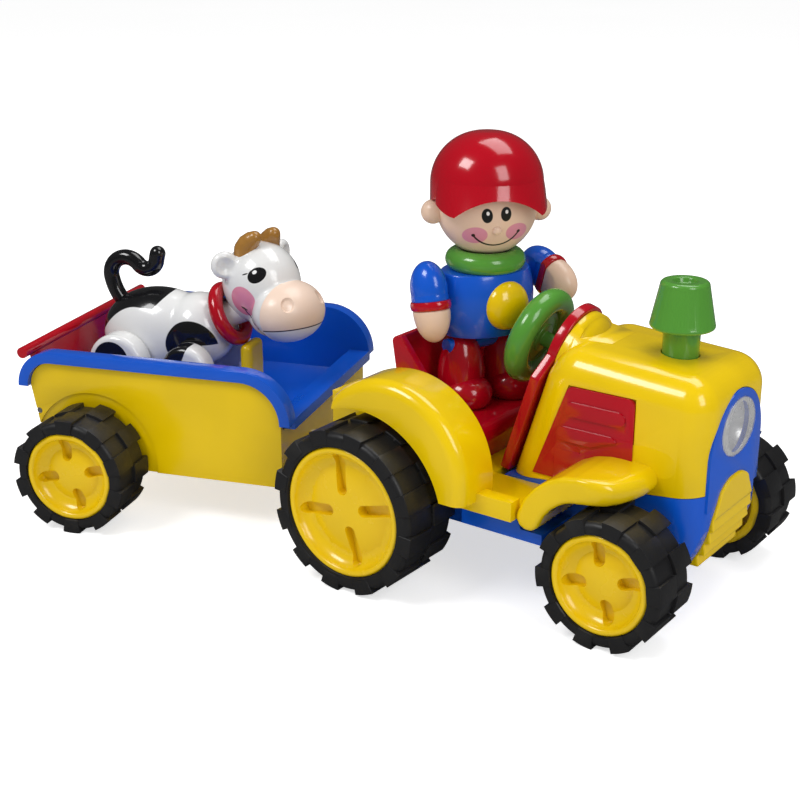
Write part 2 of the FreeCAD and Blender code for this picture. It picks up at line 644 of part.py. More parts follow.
def make_hub(label, group, place, hub_radius, width, turn):
    body = new_body(label)
    dish_edge = f"({hub_radius} - rim_lip)"
    dish_foot = f"({dish_edge} - dish_width)"
    back = f"{width} - wall_set"
    revolve(body, outline(body, "XZ_Plane", [
        ("0", f"{DISH_Z} - dome_rise"),
        (dish_foot, DISH_Z, f"{dish_foot} / 2", f"{DISH_Z} - dome_rise * 3 / 4"),
        (dish_edge, "rim_set + rim_lip / 4", f"{dish_foot} + dish_width * 3 / 4", f"{DISH_Z} - dish_depth / 2.6"),
        (hub_radius, "rim_set + rim_lip / 2", f"{hub_radius} - rim_lip / 2", "rim_set"),
        (hub_radius, back),
        (f"{hub_radius} - rim_wall", back),
        (f"{hub_radius} - rim_wall", f"{DISH_Z} + hub_floor"),
        ("boss_radius", f"{DISH_Z} + hub_floor"),
        ("boss_radius", back),
        ("axle_radius + press_fit", back),
        ("axle_radius + press_fit", AXLE_STOP),
        ("0", AXLE_STOP),
    ]))
    slot_end = f"({hub_radius} - slot_margin)"
    half = "slot_width / 2"
    spots = []
    for along, across in (("slot_start", f"-{half}"), (slot_end, f"-{half}"), (slot_end, half), ("slot_start", half)):
        spots.append((f"({along}) * cos({turn}) - ({across}) * sin({turn})",
                      f"({along}) * sin({turn}) + ({across}) * cos({turn})"))
    outer_tip = (f"({slot_end} + {half}) * cos({turn})", f"({slot_end} + {half}) * sin({turn})")
    inner_tip = (f"(slot_start - {half}) * cos({turn})", f"(slot_start - {half}) * sin({turn})")
    slot_sketch = outline(body, "XY_Plane", [spots[0] + inner_tip, spots[1], spots[2] + outer_tip, spots[3]])
    slot = pocket(body, slot_sketch, f"{DISH_Z} + slot_depth", reverse=True)
    repeat_round(body, slot, slot_sketch, "slot_count")
    return piece(body, label, group.multiply(place))


def make_wheel_pair(name, group, axle_x, radius, hub_radius, width, track_half, count, turn):
    """Two wheels pressed on one axle."""
    axle_half = f"{track_half} - {AXLE_STOP} - press_fit"
    piece(cross_rod(axle_x, radius, "axle_radius", axle_half), f"{name}_axle", group)
    for side, sign, flip in (("right", "-1", "-90"), ("left", "1", "90")):
        place = at(axle_x, f"{sign} * {track_half}", radius, ALONG_Y, flip)
        make_tyre(f"{name}_tyre_{side}", group, place, radius, hub_radius, width, count, f"{sign} * {turn}")
        make_hub(f"{name}_hub_{side}", group, place, hub_radius, width, f"({sign} * slot_turn)")


make_wheel_pair("rear", TRACTOR, "0", "rear_radius", "rear_hub_radius", "rear_width", REAR_TRACK,
                "rear_lug_count", "rear_lug_turn")
make_wheel_pair("front", TRACTOR, "front_axle_x", "front_radius", "front_hub_radius", "front_width",
                "front_track_half", "front_lug_count", "front_lug_turn")
make_wheel_pair("trailer", TRAILER, "trailer_axle_x", "front_radius", "front_hub_radius", "front_width",
                TRAILER_TRACK, "front_lug_count", "trailer_lug_turn")

FLOOR_TOP = "(floor_bottom + floor_thickness)"
BONNET_FOOT = f"({FLOOR_TOP} + seam)"
SCREWS = (("-10", "14"), ("-10", "-14"), ("66", "17"), ("66", "-17"))


# The line of the bonnet's lower edge, and the nose's front seen from the side
def bonnet_edge(x):
    slope = f"(nose_side_bottom - {BONNET_FOOT}) / (nose_x - dash_foot_x)"
    return f"({BONNET_FOOT} + (({x}) - dash_foot_x) * {slope})"


NOSE_FOOT = ("nose_x - nose_tuck", "keel_bottom")
NOSE_MIDDLE = ("nose_x - nose_tuck * 0.3", "keel_bottom + (nose_bend_z - keel_bottom) * 0.45")


def round_nose(body):
    """Round the nose's two upright corners, seen from above."""
    middle = "nose_corner * (1 - cos(45))"
    corner = pocket(body, outline(body, "XY_Plane", [
        ("nose_x", "body_half - nose_corner"),
        ("nose_x - nose_corner", "body_half", f"nose_x - {middle}", f"body_half - {middle}"),
        ("nose_x - nose_corner", "body_half + nose_corner"),
        ("nose_x + nose_corner", "body_half + nose_corner"),
        ("nose_x + nose_corner", "body_half - nose_corner"),
    ]), "2 * ridge_z", reverse=True)
    mirror(body, [corner])


def make_chassis():
    """Lower moulding with the nose mask, the skirts under the footplates and the hitch tongue."""
    body = new_body("chassis")
    keel_top = "floor_bottom - seam"
    pad(body, outline(body, "XZ_Plane", [
        ("rear_end_x", "keel_bottom"),
        ("rear_end_x", keel_top),
        ("dash_foot_x + seam", keel_top),
        ("dash_foot_x + seam", f"{bonnet_edge('dash_foot_x + seam')} - seam"),
        ("nose_x", f"{bonnet_edge('nose_x')} - seam"),
        ("nose_x", "nose_bend_z"),
        NOSE_FOOT + NOSE_MIDDLE,
    ]), "2 * body_half", both_ways=True)
    round_nose(body)
    pad(body, outline(body, "XZ_Plane", [
        ("skirt_rear_x", "skirt_bottom"),
        ("skirt_rear_x", keel_top),
        ("skirt_step_x", keel_top),
        ("skirt_step_x + skirt_step / 2", f"{keel_top} - skirt_step"),
        ("skirt_front_x", f"{keel_top} - skirt_step"),
        ("skirt_front_x", "skirt_bottom"),
    ]), "2 * skirt_half", both_ways=True)
    pad(body, outline(body, "YZ_Plane", [
        ("-mask_half", "nose_bend_z"),
        ("-mask_half", "mask_spring_z"),
        ("mask_half", "mask_spring_z", "0", "mask_spring_z + mask_half"),
        ("mask_half", "nose_bend_z"),
    ], lift="nose_x - mask_depth"), "mask_depth")
    pad(body, outline(body, "XY_Plane", [
        ("rear_end_x + tongue_half", "-tongue_half"),
        ("rear_end_x + tongue_half", "tongue_half"),
        ("hitch_x", "tongue_half"),
        ("hitch_x", "-tongue_half", "hitch_x - tongue_half", "0"),
    ], lift="tongue_bottom"), "tongue_thickness")
    pocket(body, ring(body, "YZ_Plane", "0", "lens_z", "lens_radius + seam", lift="nose_x"), "lamp_depth")
    for x, z in (("0", "rear_radius"), ("front_axle_x", "front_radius")):
        pocket(body, ring(body, "XZ_Plane", x, z, "axle_radius + run_fit"), "3 * body_half", both_ways=True)
    pocket(body, ring(body, "XY_Plane", "hitch_x", "0", "pin_radius + press_fit", lift="tongue_bottom"),
           "tongue_thickness", reverse=True)
    for x, y in SCREWS:
        pocket(body, ring(body, "XY_Plane", x, y, "screw_radius + press_fit"), "ridge_z", reverse=True)
        pocket(body, ring(body, "XY_Plane", x, y, "screw_head_radius + press_fit"), "keel_bottom + screw_head",
               reverse=True)
    return piece(body, "chassis", TRACTOR)


def screw_hole(x, y, top):
    """Room for a screw's shank above the chassis."""
    return rod(at(x, y, "keel_bottom"), "screw_radius + press_fit", f"{top} - keel_bottom")


def screw_top(x):
    """Height of a screw's end, inside the footplate or the bonnet above it."""
    return f"({FLOOR_TOP} - 1)" if amount(x) < amount("dash_foot_x") else f"({bonnet_edge(x)} + screw_length)"


def make_screws():
    screws = []
    for x, y in SCREWS:
        screws.append(rod(at(x, y, "keel_bottom"), "screw_head_radius", "screw_head"))
        screws.append(rod(at(x, y, "keel_bottom"), "screw_radius", f"{screw_top(x)} - keel_bottom"))
    return piece(join(*screws), "chassis_screws", TRACTOR)


def make_guard():
    """A front mudguard on the right side: a thick band along two arcs, with round ends and edge."""
    inner = -amount("body_half - panel_depth - 1")
    outer = -amount("guard_half")

    def spot(x, z):
        return Vector(amount(x), inner, amount(z))

    crown = spot("front_axle_x - guard_crown_back", "guard_crown_z")
    tail = Part.Arc(spot("guard_tip_x", "guard_tip_z"), spot("guard_rise_x", "guard_rise_z"), crown)
    front = Part.Arc(crown, spot("front_axle_x + guard_reach / 6", "guard_crown_z + guard_bow"),
                     spot("front_axle_x + guard_reach", "guard_crown_z"))
    line = Part.Wire([tail.toShape(), front.toShape()])
    side_view = Part.Face(line.makeOffset2D(amount("guard_thickness / 2"), 0, False, False, False))
    slab = side_view.extrude(Vector(0, outer - inner, 0))
    made = doc.addObject("Part::Feature", "front_guard")
    made.Shape = slab.makeFillet(amount("guard_round"), [edge for edge in slab.Edges if lies_on(edge, 1, outer)])
    return made


def mirrored(base):
    """A copy on the other side of the middle plane."""
    copy = doc.addObject("Part::Mirroring", "Mirroring")
    copy.Source = base
    copy.Normal = (0, 1, 0)
    return copy


def panel_outline(grow):
    """A side panel's corners, clockwise from its rear foot, down to the front mudguard's middle line."""
    return [
        (f"panel_rear_foot_x - ({grow})", f"panel_foot_z - ({grow})"),
        (f"panel_rear_top_x - ({grow})", f"panel_top_z + ({grow})"),
        (f"panel_front_x + ({grow})", f"panel_top_z + ({grow})"),
        (f"panel_front_x + ({grow})", "guard_crown_z"),
        ("guard_rise_x", "guard_rise_z"),
        ("guard_tip_x + guard_thickness / 4", f"panel_foot_z - ({grow})"),
    ]


def dash_to_tractor(place):
    """A place in the dash's leaning frame, given in the tractor's frame."""
    return TRACTOR.inverse().multiply(DASH).multiply(place)


def make_bonnet(guards):
    """Upper moulding: bonnet, instrument pod and front mudguards."""
    body = new_body("bonnet_shell")
    break_x = f"(dash_foot_x + (bonnet_break_z - {BONNET_FOOT}) * tan(dash_tilt))"
    pad(body, outline(body, "XZ_Plane", [
        ("dash_foot_x", BONNET_FOOT),
        (break_x, "bonnet_break_z"),
        ("ridge_x", "ridge_z"),
        ("nose_x", "bonnet_top_front"),
        ("nose_x", bonnet_edge("nose_x")),
    ]), "2 * body_half", both_ways=True)
    round_nose(body)
    round_edges(body, "bonnet_ridge_round", lambda edge: lies_on(edge, 2, amount("bonnet_break_z"))
                or lies_on(edge, 2, amount("ridge_z")))
    round_edges(body, "bonnet_side_round", lambda edge: lies_on(edge, 2, amount("bonnet_top_front")))
    recess = pocket(body, outline(body, "XZ_Plane", panel_outline("seam"), lift="body_half - panel_depth"),
                    "2 * panel_depth", reverse=True)
    mirror(body, [recess])
    grow = "mask_half + seam"
    pocket(body, outline(body, "YZ_Plane", [
        (f"-({grow})", "nose_bend_z"),
        (f"-({grow})", "mask_spring_z"),
        (grow, "mask_spring_z", "0", f"mask_spring_z + {grow}"),
        (grow, "nose_bend_z"),
    ], lift="nose_x - mask_depth - seam"), "2 * mask_depth", reverse=True)
    pod = rod(dash_to_tractor(at("0", "0", "dash_side + dash_shoulder - 1.5", ALONG_X, "90")), "pod_radius", "pod_length")
    spindle = rod(dash_to_tractor(at("-wheel_reach", "0", "wheel_climb", ALONG_X, "90")), "spindle_radius + run_fit",
                  "wheel_reach + spindle_depth + clear_gap")
    well = rod(at("stack_x", "0", "stack_well"), "stack_stem_radius + clear_gap", "stack_top - stack_well")
    holes = [screw_hole(x, y, screw_top(x)) for x, y in SCREWS if amount(x) > amount("dash_foot_x")]
    keel = new_body("keel_room")
    pad(keel, outline(keel, "XZ_Plane", [
        ("dash_foot_x", "keel_bottom"),
        ("dash_foot_x", BONNET_FOOT),
        ("nose_x", bonnet_edge("nose_x")),
        ("nose_x", "keel_bottom"),
    ]), "2 * (body_half + seam)", both_ways=True)
    shell = join(body, pod, *guards)
    return piece(less(shell, keel, spindle, well, *holes), "bonnet", TRACTOR)


def make_side_panel(side, sign, guard):
    """A louvred panel in the bonnet's side, whose lower edge follows the front mudguard."""
    body = new_body(f"panel_plate_{side}")
    turned = "body_half - panel_depth + seam" if sign < 0 else "-(body_half + panel_proud)"
    thick = "panel_depth + panel_proud - seam"
    pad(body, outline(body, "XZ_Plane", panel_outline("0"), lift=turned), thick)
    round_edges(body, "panel_corner", lambda edge: lies_on(edge, 2, amount("panel_top_z"))
                and edge.BoundBox.XLength < 0.01)
    half = "louvre_width / 2"
    for row in (0, 1):
        z = f"(louvre_top_z - {row} * louvre_pitch)"
        front = f"(panel_front_x - 6 - {row} * louvre_shift)"
        rear = f"({front} - louvre_length)"
        lift = "body_half + panel_proud - seam" if sign < 0 else "-(body_half + panel_proud + louvre_rise)"
        pad(body, outline(body, "XZ_Plane", [
            (rear, f"{z} - {half}", f"{rear} - {half}", z),
            (front, f"{z} - {half}"),
            (front, f"{z} + {half}", f"{front} + {half}", z),
            (rear, f"{z} + {half}"),
        ], lift=lift), "louvre_rise + seam")
    return piece(less(body, guard), f"side_panel_{side}", TRACTOR)


def make_dash():
    """Plate on the bonnet's leaning rear face, with a rounded top."""
    body = new_body("dashboard")
    top = "(dash_side + dash_shoulder)"
    pad(body, outline(body, "YZ_Plane", [
        ("-dash_half", "0"),
        ("-dash_half", "dash_side"),
        ("-pod_radius", top),
        ("pod_radius", top, "0", f"{top} + pod_radius"),
        ("dash_half", "dash_side"),
        ("dash_half", "0"),
    ], lift="-dash_thickness - seam"), "dash_thickness")
    pocket(body, ring(body, "YZ_Plane", "0", "wheel_climb", "spindle_radius + run_fit"), "2 * dash_thickness")
    return piece(body, "dashboard", DASH)


def make_steering_wheel():
    hub_place = at("-wheel_reach", "0", "wheel_climb", ALONG_X, "90")
    rim = torus(hub_place, "wheel_rim_radius", "wheel_rim_thickness")
    hub = rod(hub_place.multiply(at(z="-wheel_hub_length / 2")), "wheel_hub_radius", "wheel_hub_length")
    spindle = rod(hub_place, "spindle_radius", "wheel_reach + spindle_depth")
    web = rod(hub_place.multiply(at(z="-wheel_web / 2")), "wheel_rim_radius", "wheel_web")
    return piece(join(rim, hub, web, spindle), "steering_wheel", DASH)


def make_stack():
    """Push-down exhaust stack: a stem under a flared cap."""
    body = new_body("exhaust_stack")
    revolve(body, outline(body, "XZ_Plane", [
        ("0", "stack_foot"),
        ("stack_stem_radius", "stack_foot"),
        ("stack_stem_radius", "stack_cap_z"),
        ("stack_cap_radius - 1", "stack_cap_z"),
        ("stack_cap_radius", "stack_cap_z + 1.6", "stack_cap_radius - 0.1", "stack_cap_z + 0.5"),
        ("stack_tip_radius + 0.3", "stack_top - 1.6"),
        ("stack_tip_radius - 1.6", "stack_top", "stack_tip_radius - 0.3", "stack_top - 0.4"),
        ("stack_dimple", "stack_top"),
        ("stack_dimple - 0.8", "stack_top - 2"),
        ("0", "stack_top - 2"),
    ]))
    return piece(body, "exhaust_stack", TRACTOR.multiply(at("stack_x")))


def make_spring():
    """Coil under the stack's stem: half turns of arc, each rising half a pitch."""
    low = amount("stack_well + spring_wire + press_fit")
    high = amount("stack_foot - spring_wire - press_fit")
    radius = amount("spring_radius")
    halves = 2 * int(amount("spring_turns"))
    rise = (high - low) / halves

    def spot(turn):
        return Vector(radius * math.cos(math.pi * turn), radius * math.sin(math.pi * turn), low + rise * turn)

    arcs = [Part.Arc(spot(half), spot(half + 0.5), spot(half + 1)).toShape() for half in range(halves)]
    path = Part.Wire(arcs)
    start = path.Edges[0]
    wire = Part.Wire(Part.makeCircle(amount("spring_wire"), spot(0), start.tangentAt(start.FirstParameter)))
    made = doc.addObject("Part::Feature", "Spring")
    made.Shape = path.makePipeShell([wire], True, False)
    return piece(made, "exhaust_spring", TRACTOR.multiply(at("stack_x")))


def dome_arc(foot, rise):
    """Arc from the lens's edge up to the axis, as part of a sphere about the axis."""
    sphere = f"((lens_radius * lens_radius + {rise} * {rise}) / (2 * {rise}))"
    middle = f"{foot} + {rise} - {sphere} + sqrt({sphere} * {sphere} - lens_radius * lens_radius / 4)"
    return ("lens_radius / 2", middle)


def make_headlamp():
    """Dished reflector and domed lens in the mask's recess, drawn along Z."""
    front = TRACTOR.multiply(at("nose_x - lamp_depth", "0", "lens_z", ALONG_X, "90"))
    reflector = new_body("headlamp_reflector")
    dish = "lens_radius / 2"
    bowl = "((lens_radius * lens_radius + reflector_depth * reflector_depth) / (2 * reflector_depth))"
    sag = f"({bowl} - sqrt({bowl} * {bowl} - lens_radius * lens_radius / 4))"
    revolve(reflector, outline(reflector, "XZ_Plane", [
        ("0", "seam"),
        ("lens_radius", "seam + reflector_depth", dish, f"seam + {sag}"),
        ("lens_radius", "seam + reflector_depth + reflector_wall"),
        ("0", "seam + reflector_wall", dish, f"seam + reflector_wall + {sag}"),
    ]))
    piece(reflector, "headlamp_reflector", front)
    lens = new_body("headlamp_lens")
    back = "(2 * seam + reflector_depth + reflector_wall)"
    inner_rise = "(lens_dome * 0.6)"
    revolve(lens, outline(lens, "XZ_Plane", [
        ("0", f"{back} + {inner_rise}"),
        ("lens_radius", back) + dome_arc(back, inner_rise),
        ("lens_radius", f"{back} + lens_edge"),
        ("0", f"{back} + lens_edge + lens_dome") + dome_arc(f"{back} + lens_edge", "lens_dome"),
    ]))
    piece(lens, "headlamp_lens", front)


def make_grille():
    """Stepped tab that follows the nose down and back."""
    body = new_body("grille_strip")
    face = "(nose_x + seam)"
    rows = [
        (face, "grille_top_z"),
        (f"{face} + grille_thickness", "grille_top_z - grille_thickness / 2"),
        (f"{face} + grille_thickness", "grille_step_z"),
    ]
    steps = int(amount("grille_step_count"))
    for step in range(steps):
        z = f"(grille_step_z - {step} * grille_pitch)"
        drop = f"((nose_bend_z - {z}) / (nose_bend_z - keel_bottom))"
        back = f"(nose_tuck * {drop} * {drop})"
        reach = f"{face} + grille_thickness - {back}"
        rows.append((f"{reach} - grille_step", z))
        rows.append((f"{reach} + grille_step * 0.2", f"{z} - grille_pitch"))
    foot_z = f"(grille_step_z - {steps} * grille_pitch)"
    rows.append((f"{face} - nose_tuck", foot_z))
    pad(body, outline(body, "XZ_Plane", rows), "4 * grille_foot_half", both_ways=True)
    tab = new_body("grille_tab")
    pad(tab, outline(tab, "YZ_Plane", [
        ("-grille_foot_half", "keel_bottom"),
        ("-grille_foot_half", "grille_step_z"),
        ("-grille_top_half", "grille_top_z - 4"),
        ("grille_top_half", "grille_top_z - 4", "0", "grille_top_z"),
        ("grille_foot_half", "grille_step_z"),
        ("grille_foot_half", "keel_bottom"),
    ], lift="nose_x - 2 * nose_tuck"), "4 * nose_tuck")
    nose = new_body("nose_room")
    pad(nose, outline(nose, "XZ_Plane", [
        ("0", "keel_bottom"),
        ("0", "grille_top_z + 5"),
        (face, "grille_top_z + 5"),
        (face, "nose_bend_z"),
        (f"{NOSE_FOOT[0]} + seam", "keel_bottom", f"{NOSE_MIDDLE[0]} + seam", NOSE_MIDDLE[1]),
    ]), "4 * body_half", both_ways=True)
    return piece(less(overlap(body, tab), nose), "grille", TRACTOR)


def make_fender_deck():
    """Footplates, wheel boxes, rear mudguards and the deck behind the seat in one moulding."""
    body = new_body("fender_shell")
    inner = "body_half + seam"
    pad(body, outline(body, "XY_Plane", [
        ("rear_end_x", "-deck_half"),
        ("skirt_rear_x", "-deck_half"),
        ("skirt_rear_x", f"-{PLATE_HALF}"),
        ("plate_front_x", f"-{PLATE_HALF}"),
        ("plate_front_x", f"-({inner})"),
        ("dash_foot_x - dash_thickness", f"-({inner})"),
        ("dash_foot_x - dash_thickness", inner),
        ("plate_front_x", inner),
        ("plate_front_x", PLATE_HALF),
        ("skirt_rear_x", PLATE_HALF),
        ("skirt_rear_x", "deck_half"),
        ("rear_end_x", "deck_half"),
    ], lift="floor_bottom"), "floor_thickness")
    rim = pad(body, outline(body, "XZ_Plane", [
        ("skirt_rear_x", FLOOR_TOP),
        ("skirt_rear_x", f"{FLOOR_TOP} + plate_rim_rise"),
        ("plate_front_x", f"{FLOOR_TOP} + plate_rim_rise"),
        ("plate_front_x", FLOOR_TOP),
    ], lift=f"{PLATE_HALF} - plate_rim_width"), "plate_rim_width")
    crown = ("arch_crown_x", ARCH_CROWN_Z)
    box_side = pad(body, outline(body, "XZ_Plane", [
        ("rear_end_x", FLOOR_TOP),
        ("rear_end_x", "box_top"),
        ("box_front_x", "box_top"),
        ("box_foot_x", FLOOR_TOP),
    ], lift="arch_inner_half"), "deck_half - arch_inner_half")
    under = "(rear_radius + arch_clearance)"
    foot_under = f"sqrt({under} * {under} - ({FLOOR_TOP} - rear_radius) * ({FLOOR_TOP} - rear_radius))"
    tip_under = f"(rear_radius + sqrt({under} * {under} - arch_tip_x * arch_tip_x))"
    arch = pad(body, outline(body, "XZ_Plane", [
        (foot_under, FLOOR_TOP),
        ("arch_tip_x", tip_under, f"{under} * cos(50)", f"rear_radius + {under} * sin(50)"),
        ("arch_tip_x", ARCH_TIP_Z),
        ("arch_foot_x", FLOOR_TOP) + crown,
    ], lift="deck_half - wall_lap"), "arch_reach + wall_lap")
    mirror(body, [rim, box_side, arch])
    pad(body, outline(body, "XZ_Plane", [
        ("rear_end_x", FLOOR_TOP),
        ("rear_end_x", "deck_top"),
        ("rear_end_x + deck_depth", "deck_top"),
        ("rear_end_x + deck_depth + 3", FLOOR_TOP),
    ]), "2 * arch_inner_half + 2", both_ways=True)
    round_edges(body, "arch_round", lambda edge: abs(abs(edge.BoundBox.Center.y) - amount(ARCH_HALF)) < 0.01
                and lies_on(edge, 1, edge.BoundBox.Center.y) and edge.BoundBox.XLength > amount("rear_radius")
                and edge.BoundBox.ZMax > amount(ARCH_CROWN_Z) - 3)
    holes = [screw_hole(x, y, screw_top(x)) for x, y in SCREWS if amount(x) < amount("dash_foot_x")]
    return piece(less(body, *holes), "fender_deck", TRACTOR)


def make_seat():
    """Bucket seat: a solid base, a leaning back and wings that slope down to the front lip."""
    body = new_body("seat")
    foot = f"({FLOOR_TOP} + seam)"
    top_rear_x = "(seat_back_x - seat_lean)"
    pad(body, outline(body, "XZ_Plane", [
        ("seat_back_x", foot),
        (top_rear_x, "seat_top - 3"),
        (f"{top_rear_x} + seat_wall + 1", "seat_top - 1", f"{top_rear_x} + 1.5", "seat_top"),
        ("seat_wing_x", "seat_wing_z"),
        ("seat_lip_x - 3", "seat_pan_z"),
        ("seat_lip_x", "seat_pan_z - 3", "seat_lip_x - 0.9", "seat_pan_z - 0.9"),
        ("seat_foot_x", foot),
    ]), "2 * seat_half", both_ways=True)
    lean = f"seat_lean / (seat_top - {foot})"
    pan_back_x = f"(seat_back_x + seat_wall - (seat_pan_z - {foot}) * {lean})"
    pocket(body, outline(body, "XZ_Plane", [
        (pan_back_x, "seat_pan_z"),
        (f"{top_rear_x} + seat_wall", "seat_top"),
        (f"{top_rear_x} + seat_wall", "seat_top + 5"),
        ("seat_lip_x + 5", "seat_top + 5"),
        ("seat_lip_x + 5", "seat_pan_z"),
    ]), "2 * (seat_half - seat_wall)", both_ways=True)
    return piece(body, "seat", TRACTOR)


make_chassis()
make_screws()
right_guard = make_guard()
left_guard = mirrored(right_guard)
make_bonnet((right_guard, left_guard))
make_side_panel("right", -1, right_guard)
make_side_panel("left", 1, left_guard)
make_dash()
make_steering_wheel()
make_stack()
make_spring()
make_headlamp()
make_grille()
make_fender_deck()
make_seat()
pin_dome = ball(at("hitch_x", "0", "pin_top - pin_radius"), "pin_radius")
pin_shank = rod(at("hitch_x", "0", "tongue_bottom"), "pin_radius", "pin_top - pin_radius - tongue_bottom")
piece(join(pin_shank, pin_dome), "hitch_pin", TRACTOR)

BED_FLOOR_TOP = "(bed_floor_z + bed_wall)"
LINER_HALF = "(bed_half - bed_wall - seam)"
LINER_FRONT = "(bed_front_x - bed_wall - seam)"
LINER_FLOOR_TOP = f"({BED_FLOOR_TOP} + seam + liner_wall)"
BED_BEHIND = "(bed_rear_top_x - bed_half)"
BED_ABOVE = "(bed_side_top + bed_half)"


def side_top(grow):
    """The top of a trailer side between its two rounded corners, moved outwards."""
    front = f"(bed_corner + {grow}) * cos(45)"
    rear = f"(bed_rear_round + {grow}) * cos(45)"
    rear_x = "(bed_rear_top_x + bed_rear_round)"
    return [
        (f"bed_front_x + {grow}", "bed_side_top - bed_corner"),
        ("bed_front_x - bed_corner", f"bed_side_top + {grow}",
         f"bed_front_x - bed_corner + {front}", f"bed_side_top - bed_corner + {front}"),
        (rear_x, f"bed_side_top + {grow}"),
        (f"bed_rear_top_x - ({grow})", "bed_side_top - bed_rear_round",
         f"{rear_x} - {rear}", f"bed_side_top - bed_rear_round + {rear}"),
    ]


def inside(front, floor, front_top):
    """Side view of the room over a floor, behind a front wall and above it."""
    return [
        (BED_BEHIND, floor),
        (front, floor),
        (front, front_top),
        ("bed_half", front_top),
        ("bed_half", BED_ABOVE),
        (BED_BEHIND, BED_ABOVE),
    ]


def make_bed():
    """Trailer's outer moulding, with skirts round the axle and the drawbar eye."""
    body = new_body("trailer_bed")
    pad(body, outline(body, "XZ_Plane", [("bed_rear_low_x", "bed_bottom"), ("bed_front_x", "bed_bottom")]
                      + side_top("0")), "2 * bed_half", both_ways=True)
    inner_width = "2 * (bed_half - bed_wall)"
    front = "bed_front_x - bed_wall"
    pocket(body, outline(body, "XZ_Plane", inside(front, BED_FLOOR_TOP, "bed_front_top")), inner_width, both_ways=True)
    pocket(body, outline(body, "XZ_Plane", [
        (BED_BEHIND, "0"),
        (BED_BEHIND, BED_FLOOR_TOP),
        ("bed_floor_rear_x", BED_FLOOR_TOP),
        ("bed_floor_rear_x", "bed_floor_z"),
        (front, "bed_floor_z"),
        (front, "0"),
    ]), inner_width, both_ways=True)
    recess = pocket(body, ring(body, "XZ_Plane", "trailer_axle_x", "front_radius", "front_radius + wheel_recess_gap",
                               lift="bed_half - wheel_recess"), "bed_half", reverse=True)
    mirror(body, [recess])
    pad(body, outline(body, "XY_Plane", [
        (front, "-eye_half"),
        ("0", "-eye_half"),
        ("0", "eye_half", "eye_half", "0"),
        (front, "eye_half"),
    ], lift="tongue_bottom + tongue_thickness + clear_gap"), "eye_thickness")
    pocket(body, ring(body, "XY_Plane", "0", "0", "pin_radius + run_fit"), "2 * bed_bottom", reverse=True)
    for x, z, radius in (("trailer_axle_x", "front_radius", "axle_radius"),
                         ("gate_hinge_x", "gate_hinge_z", "gate_pin_radius")):
        pocket(body, ring(body, "XZ_Plane", x, z, f"{radius} + run_fit"), "3 * bed_half", both_ways=True)
    return piece(body, "trailer_bed", TRAILER)


def make_liner():
    """Inner tub with a rolled rim over the bed's sides and front wall."""
    body = new_body("trailer_liner")
    inner_half = f"({LINER_HALF} - liner_wall)"
    pad(body, outline(body, "XZ_Plane", [
        ("bed_rear_low_x", f"{BED_FLOOR_TOP} + seam"),
        (LINER_FRONT, f"{BED_FLOOR_TOP} + seam"),
        (LINER_FRONT, "bed_side_top - bed_corner"),
    ] + side_top("seam + rim_height / 2")), f"2 * {LINER_HALF}", both_ways=True)
    pocket(body, outline(body, "XZ_Plane", inside(f"{LINER_FRONT} - liner_wall", LINER_FLOOR_TOP,
                                                  "bed_front_top + seam")), f"2 * {inner_half}", both_ways=True)
    pocket(body, outline(body, "XZ_Plane", [
        (BED_BEHIND, "0"),
        (BED_BEHIND, LINER_FLOOR_TOP),
        ("bed_floor_rear_x", LINER_FLOOR_TOP),
        ("bed_floor_rear_x", "0"),
    ]), f"2 * {inner_half}", both_ways=True)
    inner_edge = side_top("seam")
    outer_edge = side_top("seam + rim_height")
    back = [inner_edge[3][:2], inner_edge[2] + inner_edge[3][2:], inner_edge[1][:2], inner_edge[0] + inner_edge[1][2:]]
    rim = pad(body, outline(body, "XZ_Plane", outer_edge + back, lift=inner_half),
              f"bed_half + rim_overhang - {inner_half}")
    mirror(body, [rim])
    pad(body, outline(body, "XZ_Plane", [
        (f"{LINER_FRONT} - liner_wall", "bed_front_top + seam"),
        (f"{LINER_FRONT} - liner_wall", "bed_front_top + seam + rim_height"),
        ("bed_front_x + seam + rim_height", "bed_front_top + seam + rim_height"),
        ("bed_front_x + seam + rim_height", "bed_front_top + seam"),
    ]), f"2 * {inner_half} + liner_wall", both_ways=True)
    pocket(body, ring(body, "XZ_Plane", "gate_hinge_x", "gate_hinge_z", "gate_pin_radius + run_fit"), "3 * bed_half",
           both_ways=True)
    return piece(body, "trailer_liner", TRAILER)


GATE = TRAILER.multiply(at("gate_hinge_x", "0", "gate_hinge_z", ALONG_X, "-gate_lean"))


def make_tailgate():
    """Gate with a hinge barrel below, a round top bar and a raised panel outside."""
    half = f"({LINER_HALF} - liner_wall - clear_gap)"
    barrel = cross_rod("0", "0", "gate_barrel", half)
    plate = box("-gate_thickness / 2", f"-{half}", "0", "gate_thickness", f"2 * {half}", "gate_height")
    panel = box("-gate_thickness", f"-{half} + 3 * gate_bar", "2 * gate_barrel", "gate_thickness",
                f"2 * ({half} - 3 * gate_bar)", "gate_height - 4 * gate_bar")
    bar = cross_rod("0", "gate_height", "gate_bar", "bed_half + rim_overhang")
    bore = cross_rod("0", "0", "gate_pin_radius + press_fit", "bed_half")
    piece(less(join(barrel, plate, panel, bar), bore), "tailgate", GATE)
    piece(cross_rod("0", "0", "gate_pin_radius", "bed_half - seam"), "tailgate_pin", GATE)


make_bed()
make_liner()
make_tailgate()

DRIVER = TRACTOR.multiply(at("driver_x", "driver_y", "seat_pan_z + clear_gap", UP, "driver_turn"))
COLLAR_Z = "(torso_top + collar_thickness - collar_sink)"
HEAD_REACH = "(head_radius + collar_thickness + clear_gap)"
HEAD_Z = f"({COLLAR_Z} + sqrt({HEAD_REACH} * {HEAD_REACH} - collar_ring * collar_ring))"


